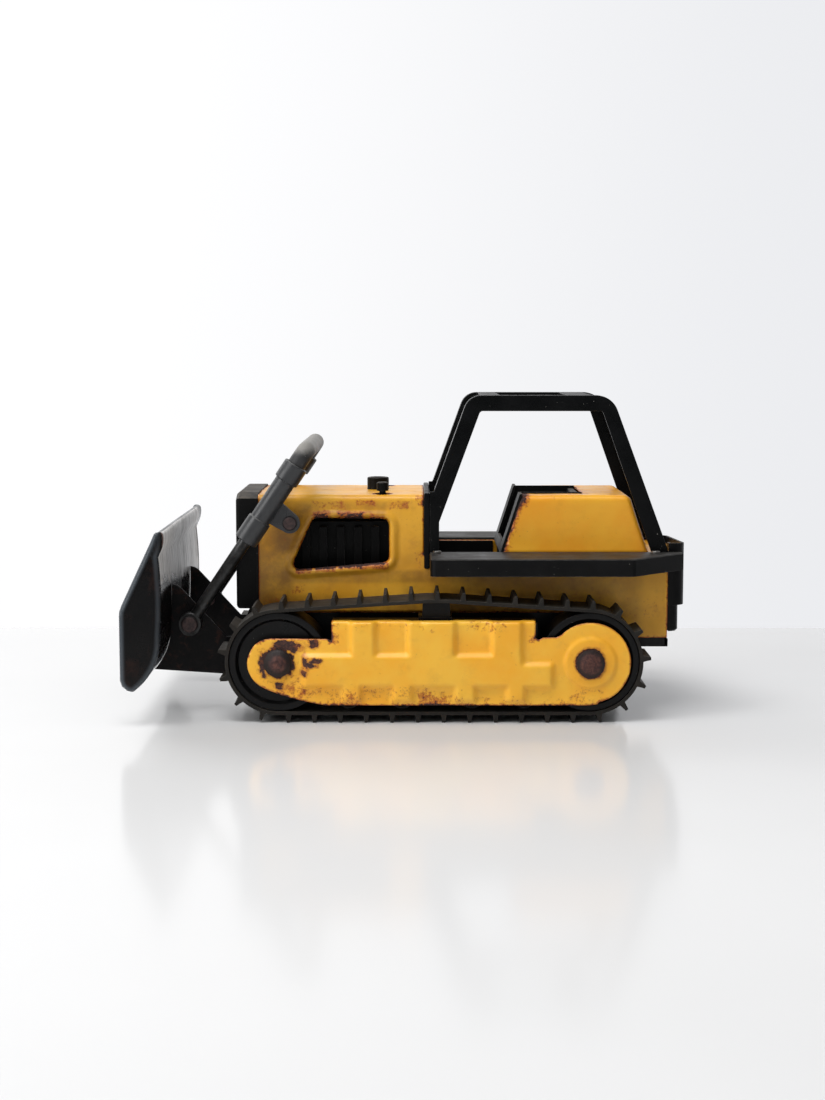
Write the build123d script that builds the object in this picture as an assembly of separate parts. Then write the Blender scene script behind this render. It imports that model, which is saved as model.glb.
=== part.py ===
from build123d import *
import os
from math import asin, atan2, cos, degrees, hypot, radians, sin

# Toy bulldozer, pressed steel and moulded plastic, about 442 mm long.
# Frame: +Z up, the front (blade) towards -X, ground at Z = 0, Y = 0 is the middle plane.
# The toy's left side is at -Y. Left pieces are modelled and the right ones are mirrored.

# ---- driving dimensions, millimetres ----
SHEET = 1.2                    # pressed steel gauge of the yellow body

# running gear
FRONT_AXLE_X = -101.0
REAR_AXLE_X = 140.5
AXLE_Z = 47.5
AXLE_R = 3.0
WHEEL_R = 38.5
WHEEL_FACE_R = 31.0
WHEEL_Y = (70.0, 108.0)        # inner and outer face, distance from the middle plane
RUNNING_GAP = 0.08             # radial clearance of everything that turns on a shaft
BELT_GAP = 0.3                 # wheel rim to belt
BELT_T = 2.7
CLEAT_H = 6.0
CLEAT_COUNT = 37
CLEAT_X = -93.7                # one cleat of the lower run stands here
BELT_Y = (68.0, 110.0)
SLIDE_BLOCK_X = (11.0, 32.0)   # black block that carries the upper run
SLIDE_BLOCK_TOP = 93.4
CARRIER_TOP = 77.4
ROLLER_X = (-46.6, -5.2, 49.5, 90.2)
ROLLER_R = 7.9
ROLLER_Z = 17.0
ROLLER_AXLE_R = 2.0
ROLLER_Y = (77.6, 100.4)
CARRIER_Y = (74.0, 104.0)
CHEEK_T = 3.0

# yellow side plates outside the tracks
PLATE_Y = 113.0                # outer face
EMBOSS_H = 2.0
EMBOSS_SLOPE = 50              # degrees from the face normal
REAR_LOBE_R = 31.4
CAP_R = 10.8
CAP_TIP_Y = 120.0

# body
BODY_HALF = 57.5
HOOD_X = (-120.0, 12.0)
HOOD_TOP = 173.5
HOOD_EDGE_R = 5.0
BODY_LOW_Z = 79.0
BODY_REAR_X = 207.0
BODY_REAR_LOW_Z = 59.0
BELT_LINE_Z = 126.0            # top of the lower side panels
WINDOW = ((-76.2, 155.1), (-15.7, 154.3), (-15.7, 119.9), (-94.8, 113.5))
BEAD_W = 7.5
BEAD_H = 1.4
KNOB_X = -21.0
KNOB_HOLE_Y = 45.0
KNOB_HOLE_R = 7.5
HOUSING = ((75.2, 126.3), (90.5, 173.5), (176.5, 173.5), (192.0, 126.3))
SEAT_HOLE_X = 140.0
SEAT_HOLE_HALF = 38.0
PAN_Z = 51.3
PAN_HALF = 56.0

# black mouldings
GRILLE_X = (-137.8, -120.0)
GRILLE_HALF = 58.5
GRILLE_EDGE_R = 3.2
DASH_X = (12.3, 16.6)
DASH_TOP = 175.2
FLOOR_TOP = 105.5
FENDER_Y = (57.7, 112.0)
FENDER_Z = (114.5, 128.0)
CAGE_Y = (58.0, 60.5)
CAGE_TOP = 252.5
CAGE_BAR = 12.0
REAR_PANEL_X = (207.4, 221.0)

# blade and its lift
BLADE_HALF = 131.0
BLADE_SHEET = 1.8
ARM_Y = (60.5, 62.5)
ARM_END_R = 14.0
PIN_X, PIN_Z = -172.5, 73.2    # rivet that joins the arm to the lift rod
ROD_Y = 78.0
ROD_R = 5.0
LIFT_ANGLE = 56.0              # lift rod above the horizontal
EYE_HOLE_R = 3.8               # oversize eye: the rod pin moves about in it as the blade swings
PIN_R = 2.5
RING_R = 9.5
BARREL_R = 8.2
COLLAR_R = 9.75
LEG_R = 7.22
BORE_R = 7.3
RING_S = (79.0, 99.7)          # distances along the lift rod, from the rod pin
COLLAR_S = (136.0, 151.3)
BORE_FLOOR_S = 82.0
LEG_S = 112.0                  # lower end of the leg inside the barrel
BAR_S = 164.2                  # axis of the cross bar
BRACKET_S = (100.5, 120.5)
BRACKET_Y = (72.0, 78.0)
BRACKET_END_R = 8.0
SWIVEL_S = 110.1               # hood rivet, along the rod and square to it
SWIVEL_OFFSET = 21.1
BOSS_Y = 59.2                  # inner end of the bracket's boss, clear of the window bead


# ---- helpers ----
def xz_face(*points):
    """Flat face from (x, z) corners."""
    return make_face(Polyline(*points, close=True))


def slab(face, y_low, y_high):
    """Solid between two Y planes from a face drawn as (x, z)."""
    return extrude(Plane.XZ.offset(-y_high) * face, y_high - y_low)


def block(x, y, z):
    """Box from three (low, high) pairs."""
    size = (x[1] - x[0], y[1] - y[0], z[1] - z[0])
    return Pos(x[0], y[0], z[0]) * Box(*size, align=(Align.MIN, Align.MIN, Align.MIN))


def y_rod(x, z, radius, y_low, y_high):
    """Cylinder along Y."""
    return slab(Pos(x, z) * Circle(radius), y_low, y_high)


def round_corners(face, radius, chooser=None):
    """Fillet all corners of a face, or those that chooser picks."""
    corners = face.vertices() if chooser is None else face.vertices().filter_by(chooser)
    return fillet(corners, radius)


def right_of(shape):
    """Mirror image on the toy's right side."""
    return mirror(shape, about=Plane.XZ)


def lift_point(along, aside=0.0):
    """(x, z) of a place given along the lift rod and square to it, below and behind."""
    c, s = cos(radians(LIFT_ANGLE)), sin(radians(LIFT_ANGLE))
    return PIN_X + along * c + aside * s, PIN_Z + along * s - aside * c


def lift_rod(radius, s_low, s_high):
    """Cylinder along the left lift rod."""
    x, z = lift_point(s_low)
    plane = Plane(origin=(x, -ROD_Y, z), z_dir=(cos(radians(LIFT_ANGLE)), 0, sin(radians(LIFT_ANGLE))))
    return extrude(plane * Circle(radius), s_high - s_low)


nodes = {}


def add_pair(name, shape):
    """Store a left piece and its mirrored right twin."""
    nodes[name + "_left"] = shape
    nodes[name + "_right"] = right_of(shape)


# ---- track: belt loop, wheels, rollers ----
BELT_IN_R = WHEEL_R + BELT_GAP
SUPPORT_R = 3.0
SUPPORT_Z = SLIDE_BLOCK_TOP + BELT_GAP - SUPPORT_R
LOOP_CIRCLES = (                # clockwise from the rear wheel, as seen from the left side
    (REAR_AXLE_X, AXLE_Z, BELT_IN_R),
    (FRONT_AXLE_X, AXLE_Z, BELT_IN_R),
    (SLIDE_BLOCK_X[0] + SUPPORT_R, SUPPORT_Z, SUPPORT_R),
    (SLIDE_BLOCK_X[1] - SUPPORT_R, SUPPORT_Z, SUPPORT_R),
)


def belt_wire(grow):
    """Closed line round the loop circles, pushed out by grow."""
    circles = [(x, z, r + grow) for x, z, r in LOOP_CIRCLES]
    count = len(circles)
    leaving, arriving = [], []
    for i in range(count):
        (x1, z1, r1), (x2, z2, r2) = circles[i], circles[(i + 1) % count]
        heading = atan2(z2 - z1, x2 - x1)
        side = heading + radians(90) - asin((r1 - r2) / hypot(x2 - x1, z2 - z1))
        leaving.append((x1 + r1 * cos(side), z1 + r1 * sin(side)))
        arriving.append((x2 + r2 * cos(side), z2 + r2 * sin(side)))
    edges = []
    for i in range(count):
        x, z, r = circles[i]
        start, end = arriving[i - 1], leaving[i]
        a = atan2(start[1] - z, start[0] - x)
        b = atan2(end[1] - z, end[0] - x)
        while b > a:
            b -= radians(360)
        middle = (a + b) / 2
        edges.append(ThreePointArc(start, (x + r * cos(middle), z + r * sin(middle)), end))
        edges.append(Line(end, arriving[i]))
    return Wire(edges)


def track():
    """Rubber belt with cross cleats, one moulding."""
    outer = belt_wire(BELT_T)
    face = make_face(outer) - make_face(belt_wire(0))
    pitch = outer.length / CLEAT_COUNT
    rear_arc = outer.edges().filter_by(GeomType.CIRCLE).sort_by(Axis.X)[-1]
    first = (rear_arc.length + REAR_AXLE_X - CLEAT_X) % pitch
    for i in range(CLEAT_COUNT):
        distance = first + i * pitch
        foot = outer.position_at(distance, position_mode=PositionMode.LENGTH)
        ahead = outer.tangent_at(distance, position_mode=PositionMode.LENGTH)
        out = Vector(ahead.Y, -ahead.X)
        if (foot + out - Vector(0, AXLE_Z)).length < (foot - Vector(0, AXLE_Z)).length:
            out = out * -1
        corners = (
            foot - out * 1.2 - ahead * 3.0,
            foot + out * CLEAT_H - ahead * 1.4,
            foot + out * CLEAT_H + ahead * 0.9,
            foot + out * 1.5 + ahead * 1.6,
            foot - out * 1.2 + ahead * 2.4,
        )
        face += make_face(Polyline(*corners, close=True))
    return slab(face, -BELT_Y[1], -BELT_Y[0])


def wheel(axle_x):
    """Black plastic wheel with a recessed outer face, rim flange and bored hub."""
    inner, outer = WHEEL_Y
    bore = AXLE_R + RUNNING_GAP
    profile = (
        (bore, inner - 1), (9, inner - 1), (9, inner + 15), (WHEEL_FACE_R, inner + 15), (WHEEL_FACE_R, inner),
        (WHEEL_R, inner), (WHEEL_R, outer), (WHEEL_FACE_R + 2.5, outer), (WHEEL_FACE_R + 0.5, outer - 4),
        (14, outer - 4), (12, outer + 1), (bore, outer + 1),
    )
    section = make_face(Polyline(*[(r, -y) for r, y in profile], close=True))
    turned = revolve(section, Axis.Y, 360)
    return Pos(axle_x, 0, AXLE_Z) * turned


def roller(x):
    """Small bogie roller with ring-shaped hollow ends."""
    inner, outer = ROLLER_Y
    bore = ROLLER_AXLE_R + RUNNING_GAP
    profile = (
        (bore, inner), (3.4, inner), (3.4, inner + 3), (6, inner + 3), (6, inner), (ROLLER_R, inner),
        (ROLLER_R, outer), (6, outer), (6, outer - 3), (3.4, outer - 3), (3.4, outer), (bore, outer),
    )
    section = make_face(Polyline(*[(r, -y) for r, y in profile], close=True))
    return Pos(x, 0, ROLLER_Z) * revolve(section, Axis.Y, 360)


def roller_carrier():
    """Black moulded beam between the wheels: two cheeks, a web and two feet."""
    low, high = 13.4, CARRIER_TOP
    web_bottom = high - 4
    front, rear = -60.0, 100.0
    beam = block((front, rear), (-CARRIER_Y[1], -CARRIER_Y[0]), (web_bottom, high))
    cheek = round_corners(xz_face((front, low), (front, high), (rear, high), (rear, low)), 4)
    for y in (-CARRIER_Y[1], -CARRIER_Y[0] - CHEEK_T):
        beam += slab(cheek, y, y + CHEEK_T)
    for x in (front + 20, 20, rear - 20):
        beam += block((x, x + 3), (-CARRIER_Y[1], -CARRIER_Y[0]), (ROLLER_Z + 14, high))
    for x in (-30.0, 66.0):
        beam += block((x, x + 14), (-CARRIER_Y[0], -PAN_HALF), (62, 74))
    for x in ROLLER_X:
        beam -= y_rod(x, ROLLER_Z, ROLLER_AXLE_R, -CARRIER_Y[1] - 1, -CARRIER_Y[0] + 1)
    return beam


def slide_block():
    """Black block standing on the carrier that holds up the middle of the upper run."""
    foot_x = SLIDE_BLOCK_X[0] - 3.3, SLIDE_BLOCK_X[1] + 1.8
    foot = block(foot_x, (-102, -76), (CARRIER_TOP, CARRIER_TOP + 4.3))
    side = xz_face((SLIDE_BLOCK_X[0] - 0.5, CARRIER_TOP), (SLIDE_BLOCK_X[1] + 0.5, CARRIER_TOP),
                   (SLIDE_BLOCK_X[1], SLIDE_BLOCK_TOP), (SLIDE_BLOCK_X[0], SLIDE_BLOCK_TOP))
    side = fillet(side.vertices().group_by(Axis.Y)[-1], 2.6)
    return foot + slab(side, -100, -78)


def side_frame():
    """Yellow pressed plate outside the track, with a raised pattern and a top flange."""
    face_y = -PLATE_Y
    lobe = Pos(REAR_AXLE_X, AXLE_Z) * Circle(REAR_LOBE_R)
    plate_face = xz_face(
        (-122.6, 37.5), (-124.8, 48.5), (-120.8, 59.4), (-114.6, 64.9), (-106.9, 66.8), (-59.4, 66.0),
        (-59.4, 80.0), (97.8, 80.0), (98.2, 67.0), (REAR_AXLE_X, 67.0), (REAR_AXLE_X, 16.1),
        (-64.7, 14.4), (-80.2, 17.9), (-97.2, 22.2), (-113.4, 28.1),
    ) + lobe
    plate = slab(plate_face, face_y, face_y + SHEET)
    plate += block((-59.4, 97.8), (face_y, face_y + 9), (80 - SHEET, 80))
    raised = [
        ((-81.5, 29.0), (-81.5, 54.0), (88.0, 54.0), (88.0, 47.0), (111.3, 47.0), (111.3, 29.0)),
        ((-44.4, 50.0), (-44.4, 79.0), (-25.9, 79.0), (-25.9, 50.0)),
        ((-0.5, 50.0), (-0.5, 79.0), (35.8, 79.0), (35.8, 50.0)),
        ((64.3, 50.0), (64.3, 79.0), (87.4, 79.0), (87.4, 50.0)),
        ((-50.7, 33.0), (-36.8, 33.0), (-36.8, 17.0), (-50.7, 17.0)),
        ((-12.1, 33.0), (2.6, 33.0), (2.6, 17.0), (-12.1, 17.0)),
        ((35.8, 33.0), (51.3, 33.0), (51.3, 17.0), (35.8, 17.0)),
        ((76.0, 33.0), (90.0, 33.0), (90.0, 17.0), (76.0, 17.0)),
    ]
    pattern = xz_face(*raised[0])
    for corners in raised[1:]:
        pattern += xz_face(*corners)
    plate += extrude(Plane.XZ.offset(-face_y) * pattern, EMBOSS_H, taper=EMBOSS_SLOPE)
    boss = Pos(REAR_AXLE_X, AXLE_Z) * Circle(20)
    plate += extrude(Plane.XZ.offset(-face_y) * boss, EMBOSS_H, taper=EMBOSS_SLOPE)
    for x in (FRONT_AXLE_X, REAR_AXLE_X):
        plate -= y_rod(x, AXLE_Z, AXLE_R, face_y - EMBOSS_H - 1, face_y + SHEET + 1)
    return plate


def axle_cap(x, base_y):
    """Domed push cap over an axle end."""
    height = CAP_TIP_Y - base_y
    skirt = 2.5
    dome_r = (CAP_R**2 + (height - skirt)**2) / (2 * (height - skirt))
    ball = Pos(0, 0, height - dome_r) * Sphere(dome_r)
    cap = Cylinder(CAP_R, height, align=(Align.CENTER, Align.CENTER, Align.MIN)) & ball
    cap += Pos(0, 0, height - 0.6) * Cylinder(3.2, 0.6, align=(Align.CENTER, Align.CENTER, Align.MIN))
    cap -= Cylinder(AXLE_R, 3.0, align=(Align.CENTER, Align.CENTER, Align.MIN))
    return Pos(x, -base_y, AXLE_Z) * (Rot(90, 0, 0) * cap)


add_pair("track", track())
for name, x in (("wheel_front", FRONT_AXLE_X), ("wheel_rear", REAR_AXLE_X)):
    add_pair(name, wheel(x))
for number, x in enumerate(ROLLER_X, 1):
    add_pair(f"roller_{number}", roller(x))
add_pair("roller_carrier", roller_carrier())
add_pair("slide_block", slide_block())
add_pair("side_frame", side_frame())

roller_axles = [y_rod(x, ROLLER_Z, ROLLER_AXLE_R, -CARRIER_Y[1] - 0.6, -CARRIER_Y[0] + 0.6) for x in ROLLER_X]
nodes["roller_axles"] = Compound(roller_axles + [right_of(rod) for rod in roller_axles])

for name, x, base in (("front_axle", FRONT_AXLE_X, PLATE_Y), ("rear_axle", REAR_AXLE_X, PLATE_Y + EMBOSS_H)):
    nodes[name] = y_rod(x, AXLE_Z, AXLE_R, -base - 2.9, base + 2.9)
caps = [axle_cap(FRONT_AXLE_X, PLATE_Y), axle_cap(REAR_AXLE_X, PLATE_Y + EMBOSS_H)]
nodes["axle_caps"] = Compound(caps + [right_of(cap) for cap in caps])

spacer_gap = 0.1
spacer_runs = (
    (FRONT_AXLE_X, PAN_HALF, ARM_Y[0]),
    (FRONT_AXLE_X, ARM_Y[1], WHEEL_Y[0] - 1),
    (FRONT_AXLE_X, WHEEL_Y[1] + 1, PLATE_Y - SHEET),
    (REAR_AXLE_X, PAN_HALF, WHEEL_Y[0] - 1),
    (REAR_AXLE_X, WHEEL_Y[1] + 1, PLATE_Y - SHEET),
)
spacers = []
for x, y_low, y_high in spacer_runs:
    ring = Circle(6) - Circle(AXLE_R)
    spacers.append(slab(Pos(x, AXLE_Z) * ring, -y_high + spacer_gap, -y_low - spacer_gap))
nodes["axle_spacers"] = Compound(spacers + [right_of(spacer) for spacer in spacers])


# ---- chassis and yellow body ----
def chassis_pan():
    """Black steel channel under the body that carries both axles."""
    front, rear = -118.5, 205.6
    web = xz_face((front, PAN_Z), (front, 90), (150, 90), (rear, 74), (rear, PAN_Z))
    for x in (FRONT_AXLE_X, REAR_AXLE_X):
        web += Pos(x, AXLE_Z) * Circle(11)
    pan = block((front, BODY_REAR_X + 1), (-PAN_HALF, PAN_HALF), (PAN_Z, PAN_Z + SHEET))
    for y in (-PAN_HALF, PAN_HALF - SHEET):
        pan += slab(web, y, y + SHEET)
    pan += block((BODY_REAR_X - 0.2, BODY_REAR_X + 1), (-PAN_HALF, PAN_HALF), (PAN_Z, 57.8))
    for x in (FRONT_AXLE_X, REAR_AXLE_X):
        pan -= y_rod(x, AXLE_Z, AXLE_R, -PAN_HALF - 1, PAN_HALF + 1)
    return pan


def hood_section(inset):
    """Hood outline across the toy, as (y, z), with rounded top corners."""
    half, top = BODY_HALF - inset, HOOD_TOP - inset
    face = xz_face((-half, BODY_LOW_Z - inset), (-half, top), (half, top), (half, BODY_LOW_Z - inset))
    return fillet(face.vertices().group_by(Axis.Y)[-1], HOOD_EDGE_R - inset)


def body_shell():
    """Hood, side panels, rear wall and rear deck, pressed from one sheet."""
    start = Plane.YZ.offset(HOOD_X[0])
    length = HOOD_X[1] - HOOD_X[0]
    shell = extrude(start * hood_section(0), length) - extrude(start * hood_section(SHEET), length)
    panel = xz_face((HOOD_X[1], BODY_LOW_Z), (HOOD_X[1], BELT_LINE_Z), (BODY_REAR_X, BELT_LINE_Z),
                    (BODY_REAR_X, BODY_REAR_LOW_Z), (163, BODY_REAR_LOW_Z), (158, BODY_LOW_Z))
    for y in (-BODY_HALF, BODY_HALF - SHEET):
        shell += slab(panel, y, y + SHEET)
    across = (-BODY_HALF, BODY_HALF)
    shell += block((BODY_REAR_X - SHEET, BODY_REAR_X), across, (BODY_REAR_LOW_Z, BELT_LINE_Z))
    shell += block((150, BODY_REAR_X), across, (BELT_LINE_Z - SHEET, BELT_LINE_Z))
    shell += block((BODY_REAR_X, REAR_PANEL_X[1] - 4), (-42, 42), (BELT_LINE_Z - SHEET, BELT_LINE_Z))
    window = round_corners(xz_face(*WINDOW), 4)
    bead = offset(window, BEAD_W, kind=Kind.ARC)
    raised = extrude(Plane.XZ.offset(BODY_HALF) * bead, BEAD_H, taper=35)
    shell += raised + right_of(raised)
    shell -= slab(window, -BODY_HALF - 5, BODY_HALF + 5)
    for y in (-KNOB_HOLE_Y, KNOB_HOLE_Y):
        shell -= Pos(KNOB_X, y, HOOD_TOP) * Cylinder(KNOB_HOLE_R, 10)
    x, z = lift_point(SWIVEL_S, SWIVEL_OFFSET)
    shell -= y_rod(x, z, PIN_R, -BODY_HALF - 5, BODY_HALF + 5)
    return shell


def rear_housing():
    """Yellow pressed cover behind the driver, open at the front and over the seat."""
    def solid(outline, half, edge_r, corner_r):
        body = slab(fillet(xz_face(*outline).vertices().group_by(Axis.Y)[-1], corner_r), -half, half)
        crown = body.edges().filter_by(lambda e: abs(e.tangent_at(0.5).Y) < 0.5 and e.center().X > 90)
        return fillet(crown.filter_by(lambda e: e.center().Z > BELT_LINE_Z + 5), edge_r)

    (x1, z1), (x2, z2), (x3, z3), (x4, z4) = HOUSING
    cover = solid(HOUSING, BODY_HALF, 4.5, 4.0)
    inner = ((x1 - 12, z1 - 1), (x2 - 12, z2 - SHEET), (x3 - SHEET, z3 - SHEET), (x4 - SHEET, z4 - 1))
    cover -= solid(inner, BODY_HALF - SHEET, 3.3, 2.8)
    cover -= block((x1, SEAT_HOLE_X), (-SEAT_HOLE_HALF, SEAT_HOLE_HALF), (z2 - 8, z2 + 5))
    return cover


def engine_block():
    """Hollow black engine moulding seen through the hood windows, standing on the pan on two ribs."""
    engine = block((-108, 0), (-30, 30), (88, 150))
    engine += block((-100, -8), (-20, 20), (150, 162))
    for x in range(-100, -4, 14):
        engine += block((x, x + 6), (-36, 36), (94, 146))
    engine -= block((-105.5, -2.5), (-27.5, 27.5), (87, 147.5))
    engine -= block((-97.5, -10.5), (-17.5, 17.5), (147, 159.5))
    for x in (-95, -25):
        engine += block((x, x + 3), (-28, 28), (PAN_Z + SHEET, 148))
    return engine


nodes["chassis_pan"] = chassis_pan()
nodes["body_shell"] = body_shell()
nodes["rear_housing"] = rear_housing()
nodes["engine_block"] = engine_block()


# ---- black trim ----
def grille():
    """Radiator grille cap with chamfered shoulders and level slots."""
    front, rear = GRILLE_X
    low, top = 82.5, 175.0

    def section(inset):
        half = GRILLE_HALF - inset
        return xz_face((-half, low + inset), (-half, 170.8 - inset), (-47, top - inset), (47, top - inset),
                       (half, 170.8 - inset), (half, low + inset))

    cap = extrude(Plane.YZ.offset(front) * section(0), rear - front)
    cap = fillet(cap.faces().sort_by(Axis.X)[0].edges(), GRILLE_EDGE_R)
    cap -= extrude(Plane.YZ.offset(front + 4) * section(2.5), rear - front)
    for row in range(7):
        z = 94 + row * 10.5
        cap -= block((front - 1, front + 2.4), (-46, 46), (z, z + 6))
    return cap


def exhaust_cap():
    """Round black cap on top of the hood."""
    cap = Cylinder(8.9, 10.5, align=(Align.CENTER, Align.CENTER, Align.MIN))
    cap = fillet(cap.faces().sort_by(Axis.Z)[-1].edges(), 1.2)
    cap -= Pos(0, 0, 9.5) * Cylinder(6.2, 2, align=(Align.CENTER, Align.CENTER, Align.MIN))
    return Pos(-25.4, 0, HOOD_TOP) * cap


def hood_knob():
    """Mushroom knob that stands on the engine and comes up through the left hole in the hood."""
    place = Pos(KNOB_X, -KNOB_HOLE_Y, 0)
    stem = place * Pos(0, 0, 160) * Cylinder(2.6, 16, align=(Align.CENTER, Align.CENTER, Align.MIN))
    head = place * Pos(0, 0, 176) * Cylinder(4.75, 7, align=(Align.CENTER, Align.CENTER, Align.MIN))
    return stem + fillet(head.faces().sort_by(Axis.Z)[-1].edges(), 1.5)


def dash_panel():
    """Upright panel behind the hood, with side lips outside the body."""
    inner, outer = BODY_HALF - SHEET - 0.2, 59.2
    panel = block(DASH_X, (-inner, inner), (FLOOR_TOP - 2.5, DASH_TOP))
    lip = block(DASH_X, (-outer, -inner), (BELT_LINE_Z + 0.3, DASH_TOP))
    lip += block(DASH_X, (-outer, -FENDER_Y[0]), (FENDER_Z[0], BELT_LINE_Z + 1))
    return panel + lip + right_of(lip)


def cab_floor():
    """Black tub between the dash and the seat: floor, foot rib and two side walls."""
    floor = block((DASH_X[1], 148), (-56, 56), (FLOOR_TOP - 2.5, FLOOR_TOP))
    floor += block((38, 46), (-50, 50), (FLOOR_TOP, FLOOR_TOP + 3.5))
    wall = block((DASH_X[1], 72), (-56, -54.5), (FLOOR_TOP, 125.5))
    return Compound([floor, wall, right_of(wall)])


def seat():
    """Black seat moulding: front frame, side walls, cushion and back."""
    (x1, z1), (x2, z2) = HOUSING[:2]
    slope = (x2 - x1) / (z2 - z1)
    z_low, z_high = z1 + 0.4, z2 + 0.7
    x_low, x_high = x1 + 0.4 * slope, x2 + 0.7 * slope
    frame = slab(xz_face((x_low - 2.4, z_low), (x_low - 0.4, z_low), (x_high - 0.4, z_high),
                         (x_high - 2.4, z_high)), -57.2, 57.2)
    frame -= block((60, 100), (-34, 34), (134, 180))
    wall = xz_face((x_low - 0.6, FLOOR_TOP), (x_low - 0.6, z_low), (x_high - 0.6, z_high),
                   (SEAT_HOLE_X - 0.4, z_high), (SEAT_HOLE_X - 0.4, FLOOR_TOP))
    half = SEAT_HOLE_HALF - 0.3
    for y in (-half, half - 2):
        frame += slab(wall, y, y + 2)
    inner = half - 2
    cushion = xz_face((82, z_low), (86, 143), (128, 140), (134, z_low))
    back = xz_face((124, 138), (134, 172), (139.6, 172), (139.6, 138))
    for pad, edge_r in ((cushion, 4), (back, 2)):
        frame += slab(fillet(pad.vertices().group_by(Axis.Y)[-1], edge_r), -inner, inner)
    return frame


def fender():
    """Deck over the track with a downturned outer edge, drawn in to the rear panel."""
    inner, outer = -FENDER_Y[0], -FENDER_Y[1]
    x_front = DASH_X[1] + 0.2
    plan = Polyline((x_front, inner), (x_front, outer), (174, outer), (218, -66), (218, inner), close=True)
    face = make_face(plan)
    face = fillet(face.vertices().sort_by(Axis.Y)[:2], 5)
    deck = extrude(Pos(0, 0, FENDER_Z[0]) * face, FENDER_Z[1] - FENDER_Z[0])
    deck = chamfer(deck.faces().sort_by(Axis.Z)[-1].edges(), 0.8)
    pocket = extrude(Pos(0, 0, FENDER_Z[0]) * offset(face, -2.2), FENDER_Z[1] - FENDER_Z[0] - 2.2)
    return deck - pocket


def roll_cage():
    """Roll-over frame: two angle-section side frames joined by two roof bars."""
    foot_x = DASH_X[1] + 0.2
    outline = xz_face((foot_x, FENDER_Z[1]), (foot_x, 176.2), (19.9, 176.2), (47.6, CAGE_TOP),
                      (160.8, CAGE_TOP), (207.2, FENDER_Z[1]))
    top_corners = outline.vertices().group_by(Axis.Y)[-1].sort_by(Axis.X)
    outline = fillet([top_corners[0]], 14)
    outline = fillet([outline.vertices().filter_by(lambda v: abs(v.X - 160.8) < 0.5)[0]], 18)
    opening = xz_face((24.2, FENDER_Z[1] - 1), (24.2, 152), (56.6, CAGE_TOP - CAGE_BAR - 0.4),
                      (153.4, CAGE_TOP - CAGE_BAR - 0.4), (193.6, FENDER_Z[1] - 1))
    opening = fillet(opening.vertices().group_by(Axis.Y)[-1], 3)
    rim = outline - offset(outline, -2.4, kind=Kind.INTERSECTION)
    rim -= xz_face((0, 0), (0, 177.5), (26, 177.5), (26, 130.5), (250, 130.5), (250, 0))
    side = slab(outline - opening, -CAGE_Y[1], -CAGE_Y[0]) + slab(rim, -CAGE_Y[0], -48)
    cage = side + right_of(side)
    for x_low, x_high in ((58, 73), (127, 147)):
        cage += block((x_low, x_high), (-CAGE_Y[0], CAGE_Y[0]), (CAGE_TOP - 2.4, CAGE_TOP))
        for x in (x_low, x_high - 2.4):
            cage += block((x, x + 2.4), (-CAGE_Y[0], CAGE_Y[0]), (CAGE_TOP - 9, CAGE_TOP - 2))
    return cage


def rear_panel():
    """Hollow rear bumper box, its rim lower on the right side."""
    x_front, x_rear = REAR_PANEL_X
    half = BODY_HALF
    rim_left, rim_right = 135.0, 130.0
    low, step_x, step_half, step_low = 85.0, 217.0, 52.0, 63.0

    def plan(grow, x_back, half_y, corner):
        face = make_face(Polyline((x_front - grow, -half_y), (x_back, -half_y), (x_back, half_y),
                                  (x_front - grow, half_y), close=True))
        return fillet(face.vertices().group_by(Axis.X)[-1], corner)

    box = extrude(Pos(0, 0, low) * plan(0, x_rear, half, 11), 60)
    box -= extrude(Pos(0, 0, low + 3) * plan(-2, x_rear - 2, half - 2, 9), 60)
    above = Polyline((-70, rim_left + 0.5), (70, rim_right - 0.5), (70, 200), (-70, 200), close=True)
    box -= extrude(Plane.YZ.offset(x_front - 5) * make_face(above), 40)
    box -= block((x_front - 1, x_front + 3), (-46, 46), (BELT_LINE_Z - 2, 150))
    lower = extrude(Pos(0, 0, step_low) * plan(0, step_x, step_half, 8), low - step_low)
    return box + chamfer(lower.edges().group_by(Axis.Z)[0], 1.5)


def fender_screw(x):
    """Pan-head screw on the left fender."""
    head = Cylinder(3.4, 1.8, align=(Align.CENTER, Align.CENTER, Align.MIN))
    head = fillet(head.faces().sort_by(Axis.Z)[-1].edges(), 0.9)
    return Pos(x, -66, FENDER_Z[1]) * head


nodes["grille"] = grille()
nodes["exhaust_cap"] = exhaust_cap()
nodes["hood_knob"] = hood_knob()
nodes["dash_panel"] = dash_panel()
nodes["cab_floor"] = cab_floor()
nodes["seat"] = seat()
add_pair("fender", fender())
nodes["roll_cage"] = roll_cage()
nodes["rear_panel"] = rear_panel()
screws = [fender_screw(22.5), fender_screw(196)]
nodes["fender_screws"] = Compound(screws + [right_of(screw) for screw in screws])


# ---- blade, push arms and lift ----
BLADE_BACK = (                  # back of the curved plate, from the bottom edge upwards
    ThreePointArc((-211.2, 27.4), (-196.4, 43.8), (-189.8, 70.0)),
    ThreePointArc((-189.8, 70.0), (-188.7, 96.0), (-190.6, 131.0)),
    Line((-190.6, 131.0), (-186.3, 141.6)),
    Line((-186.3, 141.6), (-186.9, 150.6)),
)


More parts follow.
